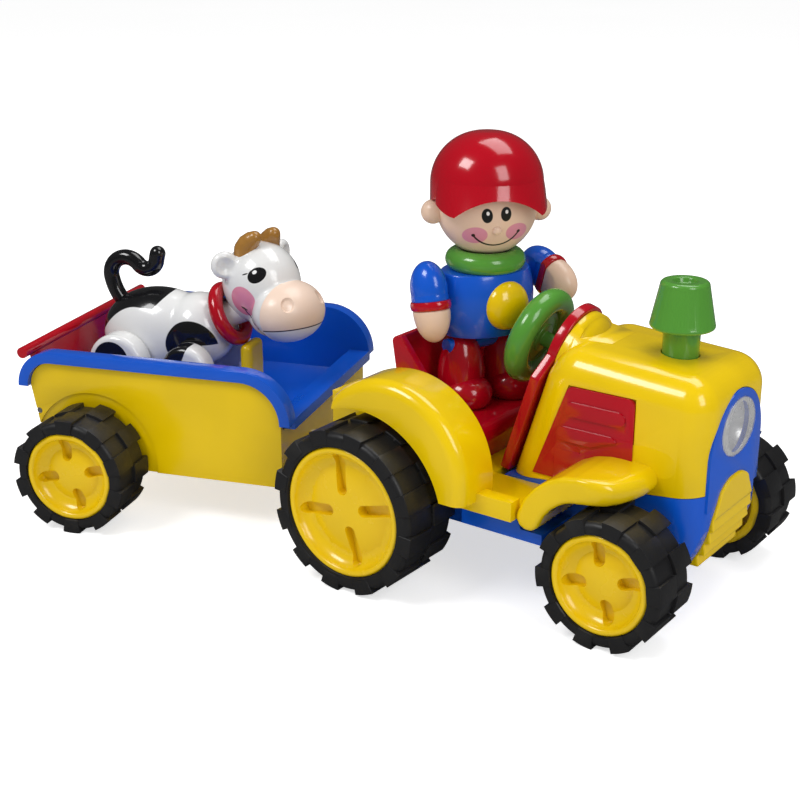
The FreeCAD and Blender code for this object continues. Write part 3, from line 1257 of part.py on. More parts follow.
def slab_between(low, high):
    """A wide box between two heights."""
    wide = "4 * torso_half"
    return box(f"-{wide} / 2", f"-{wide} / 2", low, wide, wide, f"{high} - ({low})")


def make_boot(side, sign):
    y = f"{sign} * boot_apart"
    leg = ellipsoid(at("0", y, "boot_middle_z"), "boot_half_length", "boot_half_width", "boot_top - boot_middle_z")
    toe = ellipsoid(at("toe_x", y, "toe_z"), "toe_half_length", "toe_half_width", "toe_rise")
    bore = rod(at("0", "boot_apart + hip_half", "hip_z", ALONG_Y, "90"), "hip_radius + run_fit",
               "2 * (boot_apart + hip_half)")
    above = slab_between("0", "torso_bottom - seam")
    return piece(less(overlap(join(leg, toe), above), bore), f"driver_boot_{side}", DRIVER)


def torso_shape(grow):
    return ellipsoid(at(z="torso_middle_z"), f"torso_depth + {grow}", f"torso_half + {grow}", f"torso_swell + {grow}")


def make_driver_body():
    bar = cross_rod("0", "hip_z", "hip_radius", "hip_half")
    web = box("-hip_web_length / 2", "-hip_web_half", "hip_z", "hip_web_length", "2 * hip_web_half",
              "torso_bottom - seam - hip_z")
    piece(join(bar, web), "driver_hips", DRIVER)
    trunk = overlap(torso_shape("0"), slab_between("torso_bottom", "torso_top"))
    trunk = rounded(trunk, "torso_round", lambda edge: edge.BoundBox.ZLength < 0.01)
    neck = rod(at(z="torso_top - torso_round"), "neck_radius",
               f"{HEAD_Z} - head_radius + head_socket - torso_top + torso_round - clear_gap")
    pins = cross_rod("0", "shoulder_z", "shoulder_pin", "torso_half + clear_gap + shoulder_depth - clear_gap")
    piece(join(trunk, neck, pins), "driver_torso", DRIVER)
    hole = rod(at(z="torso_bottom"), "neck_radius + press_fit", "2 * torso_half")
    flat = slab_between("0", "torso_top + press_fit")
    piece(less(torus(at(z=COLLAR_Z), "collar_ring", "collar_thickness"), hole, flat), "driver_collar", DRIVER)
    disc = overlap(rod(at("torso_depth / 2", "0", "button_z", ALONG_X, "90"), "button_radius", "torso_depth"),
                   torso_shape("button_rise"))
    button = less(disc, torso_shape("press_fit"))
    crown = amount("torso_depth")
    piece(rounded(button, "button_rise * 0.7", lambda edge: edge.BoundBox.XMax > crown), "driver_button", DRIVER)


def make_driver_head():
    head_frame = DRIVER.multiply(at(z=HEAD_Z, axis=UP, angle="head_turn"))
    skull = ball(at(), "head_radius")
    ears = [ball(at("0", f"{sign} * (head_radius + ear_radius / 4)", "-ear_drop"), "ear_radius") for sign in (1, -1)]
    nose = ball(at("head_radius - nose_radius / 4", "0", "-nose_drop"), "nose_radius")
    socket = rod(at(z="-head_radius - head_socket"), "neck_radius + run_fit", "2 * head_socket")
    piece(less(join(skull, nose, *ears), socket), "driver_head", head_frame)
    crown = overlap(ellipsoid(at(), "cap_radius", "cap_radius", "cap_rise"), slab_between("cap_edge", "2 * cap_rise"))
    visor_place = at("visor_x", "0", "cap_edge")
    visor = ellipsoid(visor_place, "visor_half_length", "visor_half_width", "visor_rise")
    hollow = ellipsoid(at("visor_x", "0", "cap_edge - visor_thickness"), "visor_half_length", "visor_half_width",
                       "visor_rise")
    brim = overlap(less(visor, hollow), slab_between("cap_edge", "2 * cap_rise"))
    room = [ball(at(), "head_radius + press_fit")]
    for sign in (1, -1):
        room.append(ball(at("0", f"{sign} * (head_radius + ear_radius / 4)", "-ear_drop"), "ear_radius + press_fit"))
    piece(less(join(crown, brim), *room), "driver_cap", head_frame)


def make_arm(side, sign, swing):
    """Sleeve, cuff and hand that turn together on a shoulder pin."""
    shoulder = DRIVER.multiply(at("0", f"{sign} * (torso_half + clear_gap)", "shoulder_z", ALONG_X, f"-{swing}"))
    y = f"{sign} * arm_middle"
    wide = "4 * arm_middle"
    start = "0" if sign > 0 else f"-{wide}"

    def slice_between(low, high):
        return box(f"-{wide} / 2", start, low, wide, wide, f"{high} - ({low})")

    sleeve_end = "-sleeve_drop"
    cuff_end = "(-sleeve_drop - cuff_height)"
    bore = rod(at("0", "shoulder_depth", "0", ALONG_Y, "90"), "shoulder_pin + run_fit", "2 * shoulder_depth")
    sleeve = ellipsoid(at("0", y, "-2"), "sleeve_half_length", "sleeve_half_width", "sleeve_top + 2")
    long_sleeve = ellipsoid(at("0", y, "-6"), "sleeve_half_length", "sleeve_half_width", "sleeve_top + 2")
    shape = overlap(join(sleeve, long_sleeve), slice_between(sleeve_end, "2 * sleeve_top"))
    piece(less(shape, bore), f"driver_sleeve_{side}", shoulder)
    cuff = ellipsoid(at("0", y, f"{sleeve_end} - cuff_height / 2"), "cuff_half_length", "cuff_half_width",
                     "cuff_height * 1.6")
    piece(overlap(cuff, slice_between(cuff_end, f"{sleeve_end} - press_fit")), f"driver_cuff_{side}", shoulder)
    hand = ellipsoid(at("0", y, f"{cuff_end} - 1"), "hand_half_length", "hand_half_width", "hand_reach - 1")
    piece(overlap(hand, slice_between(f"{cuff_end} - hand_reach - 1", f"{cuff_end} - press_fit")),
          f"driver_hand_{side}", shoulder)


make_driver_body()
make_driver_head()
for side, sign in (("right", -1), ("left", 1)):
    make_boot(side, sign)
make_arm("right", -1, "right_arm_swing")
make_arm("left", 1, "left_arm_swing")

COW = TRAILER.multiply(at("cow_x", "0", f"{LINER_FLOOR_TOP} + clear_gap"))
NECK = at("cow_collar_x", "0", "cow_collar_z", ALONG_X, "90 - cow_neck_lift")
LEG_FACE = "(cow_half_width + clear_gap)"


def neck_block(low):
    """A wide block across the cow's neck that starts at a distance along it and runs forwards."""
    reach = "8 * chest_radius"
    place = NECK.multiply(at(f"-{reach} / 2", f"-{reach} / 2", low))
    return primitive("Box", place, Length=reach, Width=reach, Height=reach)


def barrel_shape(grow):
    """The cow's barrel, with its poles at the chest and the rump."""
    return ellipsoid(at(z="cow_middle_z", axis=ALONG_X, angle="90"), f"cow_half_height + {grow}",
                     f"cow_half_width + {grow}", f"cow_half_length + {grow}")


def make_cow_body():
    barrel = barrel_shape("0")
    chest = ball(at("chest_x", "0", "chest_z", ALONG_X, "90 - cow_neck_lift"), "chest_radius")
    throat = rod(NECK.multiply(at(z="-2 * cow_collar_ring")), "cow_collar_ring - cow_collar_thickness / 2",
                 "2 * cow_collar_ring")
    trunk = less(join(barrel, chest, throat), neck_block("-cow_collar_thickness / 2"))
    pin = rod(NECK.multiply(at(z="-2 * cow_collar_thickness")), "cow_neck_radius",
              "3 * cow_collar_thickness + cow_neck_socket")
    legs = [cross_rod(x, "leg_pin_z", "leg_pin_radius", f"{LEG_FACE} + leg_thickness / 2") for x in ("hock_x", "knee_x")]
    collar_room = torus(NECK, "cow_collar_ring", "cow_collar_thickness + press_fit")
    piece(join(less(trunk, collar_room), pin, *legs), "cow_body", COW)
    pin_room = rod(NECK.multiply(at(z="-4 * cow_collar_thickness")), "cow_neck_radius + press_fit",
                   "8 * cow_collar_thickness")
    piece(less(torus(NECK, "cow_collar_ring", "cow_collar_thickness"), pin_room), "cow_collar", COW)


def make_bell():
    """Rounded tag that hangs from the collar's lowest point."""
    hang = NECK.multiply(at("cow_collar_ring + cow_collar_thickness"))
    place = Placement(hang.Base, Rotation())
    body = primitive("Box", place.multiply(at("-bell_thickness / 2 + cow_collar_thickness", "-bell_half", "-bell_height")),
                     Length="bell_thickness", Width="2 * bell_half", Height="bell_height + cow_collar_thickness / 2")
    soft = rounded(body, "bell_round", lambda edge: True)
    ring_room = torus(NECK, "cow_collar_ring", "cow_collar_thickness + press_fit")
    piece(less(soft, ring_room), "cow_bell", COW)


COW_HEAD = NECK.multiply(at(axis=UP, angle="cow_head_turn")).multiply(NECK.inverse())


def skull_shape(grow):
    return ellipsoid(at("cow_head_x", "0", "cow_head_z"), f"cow_head_half_length + {grow}",
                     f"cow_head_half_width + {grow}", f"cow_head_half_height + {grow}")


def make_cow_head():
    group = COW.multiply(COW_HEAD)
    ears = []
    for sign in (1, -1):
        ears.append(ellipsoid(at("cow_head_x - cow_ear_back", f"{sign} * cow_ear_apart", "cow_head_z + cow_ear_rise",
                                 UP, f"-{sign} * cow_ear_sweep"),
                              "cow_ear_length", "cow_ear_thickness", "cow_ear_width"))
    bridge = ellipsoid(at("bridge_x", "0", "bridge_z", ALONG_X, "bridge_dip"), "bridge_half_length", "bridge_half_width",
                       "bridge_half_height")
    ahead = neck_block("cow_collar_thickness + clear_gap")
    socket = rod(NECK.multiply(at(z="0")), "cow_neck_radius + run_fit",
                 "cow_collar_thickness + cow_neck_socket + clear_gap")
    muzzle_sizes = ("muzzle_half_length", "muzzle_half_width", "muzzle_half_height")
    muzzle_place = at("muzzle_x", "0", "muzzle_z")
    muzzle_room = ellipsoid(muzzle_place, *[f"{half} + press_fit" for half in muzzle_sizes])
    face = less(overlap(join(skull_shape("0"), bridge, *ears), ahead), muzzle_room, socket)
    piece(face, "cow_head", group)
    piece(ellipsoid(muzzle_place, *muzzle_sizes), "cow_muzzle", group)
    horns = []
    for sign in (1, -1):
        lean = at("cow_head_x", f"{sign} * horn_apart", "cow_head_z + cow_head_half_height - horn_radius", ALONG_Y,
                  f"-{sign} * horn_spread")
        horns.append(primitive("Cone", lean, Radius1="horn_radius", Radius2="horn_tip", Height="horn_length"))
        horns.append(ball(lean.multiply(at(z="horn_length")), "horn_tip"))
    piece(less(join(*horns), skull_shape("press_fit")), "cow_horns", group)


def leg_shape(x, disc):
    """A round leg disc on the right with a foot that clears the floor as it turns."""
    outer = f"-({LEG_FACE} + leg_thickness)"
    start = at(x, f"-{LEG_FACE}", "leg_pin_z", ALONG_Y, "90")
    plate = rod(start, disc, "leg_thickness")
    foot = box(f"{x} - foot_half", outer, "0", "2 * foot_half", "leg_thickness", "leg_pin_z")
    sole = rod(start, "leg_pin_z", "leg_thickness")
    shape = rounded(join(plate, overlap(foot, sole)), "leg_round", lambda edge: lies_on(edge, 1, amount(outer)))
    bore = rod(at(x, "0", "leg_pin_z", ALONG_Y, "90"), "leg_pin_radius + run_fit",
               f"{LEG_FACE} + leg_thickness / 2 + clear_gap")
    return less(shape, bore)


def make_tail():
    """Tail that rises from the rump, bends over and curls up again: tangent arcs of one tube."""
    point = Vector(amount("tail_root_x"), 0, amount("tail_root_z"))
    heading = Rotation(Vector(0, 1, 0), amount("-tail_lean")).multVec(Vector(0, 0, 1))
    arcs = []
    bends = (("tail_rise", "30"), ("tail_bow", "150"), ("tail_curl", "-130"), ("tail_rise", "8"))
    for radius, sweep in [(amount(size), amount(turn)) for size, turn in bends]:
        axis = Vector(0, 1, 0)
        spoke = axis.cross(heading) * (-radius if sweep > 0 else radius)
        middle = point - spoke
        halfway = middle + Rotation(axis, sweep / 2).multVec(spoke)
        finish = middle + Rotation(axis, sweep).multVec(spoke)
        arcs.append(Part.Arc(point, halfway, finish).toShape())
        heading = Rotation(axis, sweep).multVec(heading)
        point = finish
    wire = Part.Wire(arcs)
    first = wire.Edges[0]
    start = first.valueAt(first.FirstParameter)
    circle = Part.Wire(Part.makeCircle(amount("tail_radius"), start, first.tangentAt(first.FirstParameter)))
    tube = doc.addObject("Part::Feature", "Tail")
    tube.Shape = wire.makePipeShell([circle], True, False)
    tip = ball(Placement(point, Rotation()), "tail_radius")
    piece(less(join(tube, tip), barrel_shape("press_fit")), "cow_tail", COW)


make_cow_body()
make_bell()
make_cow_head()
for name, x, disc in (("rear", "hock_x", "hip_disc_radius"), ("front", "knee_x", "knee_disc_radius")):
    piece(leg_shape(x, disc), f"cow_{name}_leg_right", COW)
    piece(mirrored(leg_shape(x, disc)), f"cow_{name}_leg_left", COW)
make_tail()


# Every object has to be sound before anything is written
doc.recompute()
for made in doc.Objects:
    if "Invalid" in made.State or "Error" in made.State:
        raise RuntimeError(f"{made.Label} failed: {made.State}")
os.makedirs("parts", exist_ok=True)
for made in PIECES:
    if made.Shape.isNull() or not made.Shape.isValid():
        raise RuntimeError(f"{made.Label} has no sound shape")
    made.Shape.exportStep(f"parts/{made.Label}.step")
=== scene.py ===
# %% [markdown]
# A push-along toy tractor with a hitched trailer, a driver figure and a cow. The solid model gives every
# piece its place. This lesson dresses that model: moulded plastic with soft edges, rubber tyres, figures
# with printed faces, and a pale studio floor.

# %% Load the solid model
import json
import math

import bpy
from mathutils import Matrix, Vector


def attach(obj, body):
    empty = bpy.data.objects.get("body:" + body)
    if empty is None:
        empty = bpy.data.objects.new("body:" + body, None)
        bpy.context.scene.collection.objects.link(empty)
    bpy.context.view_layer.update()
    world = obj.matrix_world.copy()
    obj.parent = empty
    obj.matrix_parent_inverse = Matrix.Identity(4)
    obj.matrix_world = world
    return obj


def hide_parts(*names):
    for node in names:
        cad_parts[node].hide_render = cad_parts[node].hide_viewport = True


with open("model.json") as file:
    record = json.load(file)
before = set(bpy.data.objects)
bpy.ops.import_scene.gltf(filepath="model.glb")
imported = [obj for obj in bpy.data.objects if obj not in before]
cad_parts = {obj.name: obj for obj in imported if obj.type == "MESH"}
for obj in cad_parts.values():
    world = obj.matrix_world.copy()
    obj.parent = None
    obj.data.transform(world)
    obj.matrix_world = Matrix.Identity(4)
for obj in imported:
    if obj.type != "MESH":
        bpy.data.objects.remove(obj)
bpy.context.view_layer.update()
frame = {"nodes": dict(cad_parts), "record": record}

MM = 0.001

# %% [markdown]
# The camera comes first, because every later comparison depends on it. Its place and focal length were
# worked out from the wheels, whose true circles and spacing show how the picture was taken.

# %% Camera
REAR_AXLE = Vector((37.9, 16.8, 0)) * MM
VIEW_TURN = math.radians(36.42)
VIEW_DIP = math.radians(19.49)
camera_data = bpy.data.cameras.new("picture_camera")
camera_data.sensor_width = 36
camera_data.lens = 62.77
camera_data.clip_end = 100
camera = bpy.data.objects.new("picture_camera", camera_data)
bpy.context.scene.collection.objects.link(camera)
camera.location = REAR_AXLE + Vector((304.3, -452.3, 249.05)) * MM
camera.rotation_euler = (math.pi / 2 - VIEW_DIP, 0, VIEW_TURN)
bpy.context.scene.camera = camera
bpy.context.scene.view_settings.view_transform = "Standard"
print("camera at", [round(value, 3) for value in camera.location])

# %% [markdown]
# Shader maths reads better as sums than as rows of nodes. A Signal wraps one socket, and plus, minus and
# times on it add the Math nodes. A Finish is one material: its sheen and gloss are plain numbers on the
# shader, and only what changes over the surface arrives by a link.

# %% Shader helper


class Signal:
    """One shader socket that can be used in sums."""

    def __init__(self, finish, socket):
        self.finish = finish
        self.socket = socket

    def __add__(self, other):
        return self.finish.maths("ADD", self, other)

    def __sub__(self, other):
        return self.finish.maths("SUBTRACT", self, other)

    def __rsub__(self, other):
        return self.finish.maths("SUBTRACT", other, self)

    def __mul__(self, other):
        return self.finish.maths("MULTIPLY", self, other)

    def __truediv__(self, other):
        return self.finish.maths("DIVIDE", self, other)

    def __or__(self, other):
        return self.finish.maths("MAXIMUM", self, other)

    def __abs__(self):
        return self.finish.maths("ABSOLUTE", self)

    __radd__ = __add__
    __rmul__ = __mul__


class Finish:
    """A material under construction."""

    def __init__(self, name, colour, roughness, coat=0.0, metallic=0.0):
        self.material = bpy.data.materials.new(name)
        self.material.use_nodes = True
        self.tree = self.material.node_tree
        self.shader = self.tree.nodes["Principled BSDF"]
        self.set("Base Color", (*colour, 1))
        self.set("Roughness", roughness)
        self.set("Coat Weight", coat)
        self.set("Coat Roughness", 0.04)
        self.set("Metallic", metallic)
        self.base = colour
        self.place = self.node("ShaderNodeTexCoord", out=3)

    def set(self, socket, value):
        """Give one of the shader's sockets a value or a link."""
        self.feed(self.shader.inputs[socket], value)

    def feed(self, socket, value):
        if isinstance(value, Signal):
            self.tree.links.new(value.socket, socket)
        else:
            socket.default_value = value

    def node(self, kind, settings=None, out=0, **sockets):
        """Any node: its settings first, then its sockets by name, or by number as s0, s1."""
        made = self.tree.nodes.new(kind)
        for name, value in (settings or {}).items():
            setattr(made, name, value)
        for name, value in sockets.items():
            key = int(name[1:]) if name[1:].isdigit() else name.replace("_", " ")
            self.feed(made.inputs[key], value)
        if isinstance(out, tuple):
            return [Signal(self, made.outputs[index]) for index in out]
        return Signal(self, made.outputs[out])

    def maths(self, operation, first, second=0.0):
        return self.node("ShaderNodeMath", {"operation": operation}, s0=first, s1=second)

    def blend(self, mask, under, over):
        """Lay one colour over another where the mask is 1."""
        colours = [value if isinstance(value, Signal) else (*value, 1) for value in (under, over)]
        return self.node("ShaderNodeMix", {"data_type": "RGBA"}, out=2, s0=mask, s6=colours[0], s7=colours[1])

    def noise(self, scale, detail=2.0):
        return self.node("ShaderNodeTexNoise", Vector=self.place, Scale=scale, Detail=detail)

    def step(self, value, low, high):
        """0 below low and 1 above high, smooth between."""
        return self.node("ShaderNodeMapRange", {"interpolation_type": "SMOOTHSTEP"},
                         Value=value, From_Min=low, From_Max=high)

    def local(self, place):
        """Millimetres along the three axes of a frame."""
        seen = self.node("ShaderNodeMapping", {"vector_type": "TEXTURE"}, Vector=self.place,
                         Location=tuple(place.translation), Rotation=tuple(place.to_euler()),
                         Scale=(MM, MM, MM))
        return self.node("ShaderNodeSeparateXYZ", out=(0, 1, 2), s0=seen)

    def relief(self, height, distance):
        self.set("Normal", self.node("ShaderNodeBump", Height=height, Distance=distance))

    def tint(self, colour):
        """Keep a colour as the base that prints are laid on."""
        self.base = colour
        self.set("Base Color", colour)

    def lay_on(self, mask, colour):
        """Lay a colour over the base where the mask is 1: mostly printed inks, and for the eye glints a
        painted highlight.
        """
        self.tint(self.blend(mask, self.base, colour))


# %% [markdown]
# Injection-moulded plastic is never one flat colour. The colour drifts a little where the melt flowed,
# the gloss is cloudier in some places, and a faint orange-peel waviness bends the reflections. All three
# come from noise that reads the place on the piece.

# %% Plastic, rubber and metal


def moulded(name, colour, roughness=0.2, coat=0.5, drift=0.05, peel=0.00002):
    """Glossy moulded plastic."""
    made = Finish(name, colour, roughness, coat)
    darker = tuple(value * (1 - 2 * drift) for value in colour)
    made.tint(made.blend(made.step(made.noise(22, 3), 0.3, 0.7), darker, colour))
    made.set("Roughness", roughness - 0.04 + made.noise(140, 4) * 0.09)
    made.relief(made.noise(260, 2), peel)
    return made


def rubber(name):
    """Tyre plastic: nearly black, satin on the lugs and dusty in places."""
    made = Finish(name, (0.014, 0.014, 0.015), 0.42)
    grain = made.noise(900, 3)
    dust = made.step(made.noise(60, 4), 0.5, 0.75)
    made.tint(made.blend(dust * 0.5, (0.012, 0.012, 0.013), (0.028, 0.027, 0.026)))
    made.set("Roughness", 0.36 + grain * 0.14 + dust * 0.1)
    made.relief(grain, 0.00005)
    return made


def bare_metal(name, colour, low, spread, metallic=1.0):
    """Metal whose polish varies between two roughnesses."""
    made = Finish(name, colour, low, metallic=metallic)
    made.set("Roughness", low + made.noise(300, 3) * spread)
    return made


YELLOW = (0.9, 0.61, 0.0)
BLUE = (0.004, 0.1, 0.64)
RED = (0.47, 0.002, 0.012)
SKIN = (0.83, 0.59, 0.44)
PINK = (0.87, 0.67, 0.54)
WHITE = (0.8, 0.8, 0.79)
BLACK = (0.008, 0.008, 0.009)
finishes = {
    "yellow_body": moulded("yellow_body_plastic", YELLOW),
    "amber_hub": moulded("amber_hub_plastic", (0.88, 0.58, 0.001), 0.26),
    "black_tyre": rubber("tyre_rubber"),
    "blue_body": moulded("blue_body_plastic", BLUE),
    "red_trim": moulded("red_trim_plastic", RED, 0.16),
    "green_trim": moulded("green_trim_plastic", (0.095, 0.33, 0.04), 0.22),
    "steel": bare_metal("axle_steel", (0.55, 0.55, 0.57), 0.22, 0.2),
    "mirror_silver": bare_metal("silvered_bowl", (0.8, 0.8, 0.8), 0.2, 0.16, 0.6),
    "skin": moulded("skin_vinyl", SKIN, 0.34, 0.2, 0.03),
    "blue_hips": moulded("hip_plastic", BLUE, 0.3),
    "white_cow": moulded("cow_white_plastic", WHITE, 0.18, 0.5, 0.01),
    "pink_muzzle": moulded("muzzle_vinyl", PINK, 0.34, 0.2, 0.03),
    "brown_horn": moulded("horn_plastic", (0.40, 0.19, 0.035), 0.24),
    "black_tail": moulded("tail_plastic", BLACK, 0.14),
}
clear = Finish("clear_lens", (0.78, 0.78, 0.78), 0.05, 1.0)
clear.set("Alpha", 0.3 + clear.noise(90, 2) * 0.1)
clear.set("Roughness", 0.02 + clear.noise(90, 2) * 0.05)
finishes["clear_lens"] = clear
print("finishes", len(finishes))

# %% [markdown]
# A solid model arrives as loose triangles with knife-sharp edges, and real mouldings have none. Each
# rigid piece is copied, its triangles are merged, its flat faces become single faces, and its sharp edges
# get a small round. The copy then stands for the solid.

# %% Soften a solid's edges
SLOT_OF = {part["node"]: part["material_slot"] for part in frame["record"]["subparts"]}
BODY_OF = {node: body for body, nodes in frame["record"]["behaviour"]["bodies"].items() for node in nodes}
FIGURES = ("driver_", "cow_")


def only(piece):
    """Make one object the selected and active one."""
    bpy.ops.object.select_all(action="DESELECT")
    piece.select_set(True)
    bpy.context.view_layer.objects.active = piece


def apply_all(piece):
    only(piece)
    for modifier in list(piece.modifiers):
        bpy.ops.object.modifier_apply(modifier=modifier.name)
    return piece


def round_over(piece, width, segments=3, sharp=32):
    """Round the sharp edges of a piece."""
    bevel = piece.modifiers.new("edge", "BEVEL")
    bevel.width = width * MM
    bevel.segments = segments
    bevel.angle_limit = math.radians(sharp)
    return apply_all(piece)


def take_place(piece, node, finish=None, sharp=32):
    """Let a finished piece stand for a solid and move with its body."""
    piece.name = f"{node}_piece"
    only(piece)
    bpy.ops.object.shade_smooth_by_angle(angle=math.radians(sharp))
    piece.data.materials.clear()
    piece.data.materials.append((finish or finishes[SLOT_OF[node]]).material)
    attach(piece, BODY_OF[node])
    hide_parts(node)
    return piece


def merged_copy(node):
    """A copy of a solid's mesh with its triangles merged and its flat faces whole."""
    only(frame["nodes"][node])
    bpy.ops.object.duplicate()
    piece = bpy.context.object
    piece.parent = None
    bpy.ops.object.mode_set(mode="EDIT")
    bpy.ops.mesh.select_all(action="SELECT")
    bpy.ops.mesh.remove_doubles(threshold=0.00002)
    if "tyre" not in node:
        bpy.ops.mesh.dissolve_limited(angle_limit=math.radians(0.5))
    bpy.ops.object.mode_set(mode="OBJECT")
    return piece


PLAIN = ("driver_hips", "cow_collar", "cow_tail")
RESHAPED = ("tyre", "bonnet", "side_panel", "headlamp", "grille", "steering_wheel", "cow_bell")
EDGES = {"chassis": 1.2, "fender_deck": 1.6, "seat": 1.8, "trailer_bed": 0.8, "trailer_liner": 1.0}
rigid = [node for node in sorted(frame["nodes"]) if not node.startswith(FIGURES) or node in PLAIN]
rigid = [node for node in rigid if not any(word in node for word in RESHAPED)]
for node in rigid:
    take_place(round_over(merged_copy(node), EDGES.get(node, 0.5)), node)
print("rigid pieces", len(rigid))


# %% [markdown]
# Other pieces are soft curves, so they are modelled afresh. Each starts as a ball, a ring, a post or a
# block that is stretched, sliced and rounded in an upright frame of its own, in millimetres, and is then
# carried to its place on the toy.

# %% Tools for soft shapes
THROUGH = 60
TRACTOR = Matrix.Translation(REAR_AXLE)
HITCH_X = -66
TRAILER_TURN = 19.36


def shift(x, y, z):
    return Matrix.Translation(Vector((x, y, z)) * MM)


def turn(degrees, axis):
    return Matrix.Rotation(math.radians(degrees), 4, axis)


TRAILER = TRACTOR @ shift(HITCH_X, 0, 0) @ turn(TRAILER_TURN, "Z")


def orb(centre, halves, around=64, rings=36, tilt=None):
    """A ball stretched to three half sizes, and tilted if asked."""
    bpy.ops.object.select_all(action="DESELECT")
    bpy.ops.mesh.primitive_uv_sphere_add(segments=around, ring_count=rings, radius=MM)
    piece = bpy.context.object
    bpy.ops.object.mode_set(mode="EDIT")
    bpy.ops.mesh.select_all(action="SELECT")
    bpy.ops.transform.resize(value=halves)
    bpy.ops.object.mode_set(mode="OBJECT")
    piece.matrix_world = shift(*centre) @ (tilt or Matrix())
    bpy.ops.object.transform_apply()
    return piece


def hoop(place, radius, thickness):
    """A thick ring around the upright axis of a frame."""
    bpy.ops.object.select_all(action="DESELECT")
    bpy.ops.mesh.primitive_torus_add(major_radius=radius * MM, minor_radius=thickness * MM,
                                     major_segments=80, minor_segments=28)
    piece = bpy.context.object
    piece.matrix_world = place
    bpy.ops.object.transform_apply()
    return piece


def post(half_x, half_y, length, place):
    """An oval post along the upright axis of a frame, with its middle at the frame's origin."""
    bpy.ops.object.select_all(action="DESELECT")
    bpy.ops.mesh.primitive_cylinder_add(vertices=96, radius=MM, depth=length * MM)
    piece = bpy.context.object
    piece.matrix_world = place @ Matrix.Diagonal((half_x, half_y, 1, 1))
    bpy.ops.object.transform_apply()
    return piece


def block(centre, halves):
    """A block given by its middle and its three half sizes."""
    bpy.ops.object.select_all(action="DESELECT")
    bpy.ops.mesh.primitive_cube_add(size=2 * MM)
    piece = bpy.context.object
    piece.matrix_world = shift(*centre) @ Matrix.Diagonal((*halves, 1))
    bpy.ops.object.transform_apply()
    return piece


def slice_off(piece, point, normal):
    """Cut away what lies beyond a plane and close the cut."""
    only(piece)
    bpy.ops.object.mode_set(mode="EDIT")
    bpy.ops.mesh.select_all(action="SELECT")
    bpy.ops.mesh.bisect(plane_co=Vector(point) * MM, plane_no=normal, use_fill=True, clear_outer=True)
    bpy.ops.object.mode_set(mode="OBJECT")
    return piece


def gather(*pieces):
    """Join several pieces into one object."""
    bpy.ops.object.select_all(action="DESELECT")
    for piece in pieces:
        piece.select_set(True)
    bpy.context.view_layer.objects.active = pieces[0]
    bpy.ops.object.join()
    return bpy.context.object


def carve(piece, tool, operation="DIFFERENCE"):
    """Cut a tool's shape out of a piece, or keep or add what they share."""
    cut = piece.modifiers.new("cut", "BOOLEAN")
    cut.operation = operation
    cut.solver = "EXACT"
    cut.object = tool
    apply_all(piece)
    bpy.data.objects.remove(tool)
    return piece


def weld(pieces, voxel=0.7, passes=8):
    """Join pieces under one skin and soften the creases between them."""
    piece = gather(*pieces)
    skin = piece.modifiers.new("skin", "REMESH")
    skin.mode = "VOXEL"
    skin.voxel_size = voxel * MM
    soft = piece.modifiers.new("soft", "SMOOTH")
    soft.factor = 0.5
    soft.iterations = passes
    return apply_all(piece)


def carried(piece, place):
    """Move a piece's mesh by a place."""
    piece.matrix_world = place
    only(piece)
    bpy.ops.object.transform_apply()
    return piece


def settle(piece, node, place, finish=None, sharp=40):
    """Carry a piece to its place and let it stand for its solid."""
    return take_place(carried(piece, place), node, finish, sharp)


# %% [markdown]
# The solid tyres have deep gaps between their lugs. On the toy the gaps are shallow, because the tread
# between the lugs reaches almost as high as they do. A broad ring with round shoulders fills each tyre.

# %% Tyres
LUG_HEIGHT = 1.2
BORE_GAP = 0.3
TREAD_INSET = 0.5
# Body's frame, axle along it, half track, radius, bore's radius and width.
WHEELS = {
    "rear": (TRACTOR, 0, 63.5, 32.9, 26, 29),
    "front": (TRACTOR, 100, 47.75, 25, 19.1, 24.5),
    "trailer": (TRAILER, -90, 65.65, 25, 19.1, 24.5),
}
for name, (body, along, track, radius, bore, width) in WHEELS.items():
    for side, sign in (("right", -1), ("left", 1)):
        node = f"{name}_tyre_{side}"
        wheel = body @ shift(along, sign * track, radius) @ turn(90, "X")
        tread = round_over(post(radius - LUG_HEIGHT, radius - LUG_HEIGHT, width - TREAD_INSET, wheel), 2.5, 5)
        carve(tread, post(bore + BORE_GAP, bore + BORE_GAP, THROUGH, wheel))
        take_place(gather(round_over(merged_copy(node), 0.4), tread), node)
print("tyres done")

# %% [markdown]
# The front mudguards are fat rolls that hug the wheels and curl in to the bonnet at their front ends. Each
# is a row of short posts laid side by side along its arc, under one skin. The red side panel runs down
# behind it.

# %% Bonnet and mudguards
BODY_HALF = 28.03
GUARD_HALF = 4.9
GUARD_ROOT = 24
# Places along a mudguard's arc: forward, up, and how far out it reaches there.
GUARD_LINE = (
    (67.8, 40.5, 55), (70.0, 45.3, 55), (73.4, 49.5, 55), (77.6, 52.7, 55),
    (82.4, 55.0, 55), (87.4, 56.0, 55), (91.6, 56.2, 53.8), (95.2, 56.0, 51),
    (98.0, 55.8, 46.5), (100.0, 55.8, 40), (101.0, 55.8, 34),
)
SUBSTEPS = 3
PANEL_ASIDE = 27.9
PANEL_HALF = 0.7
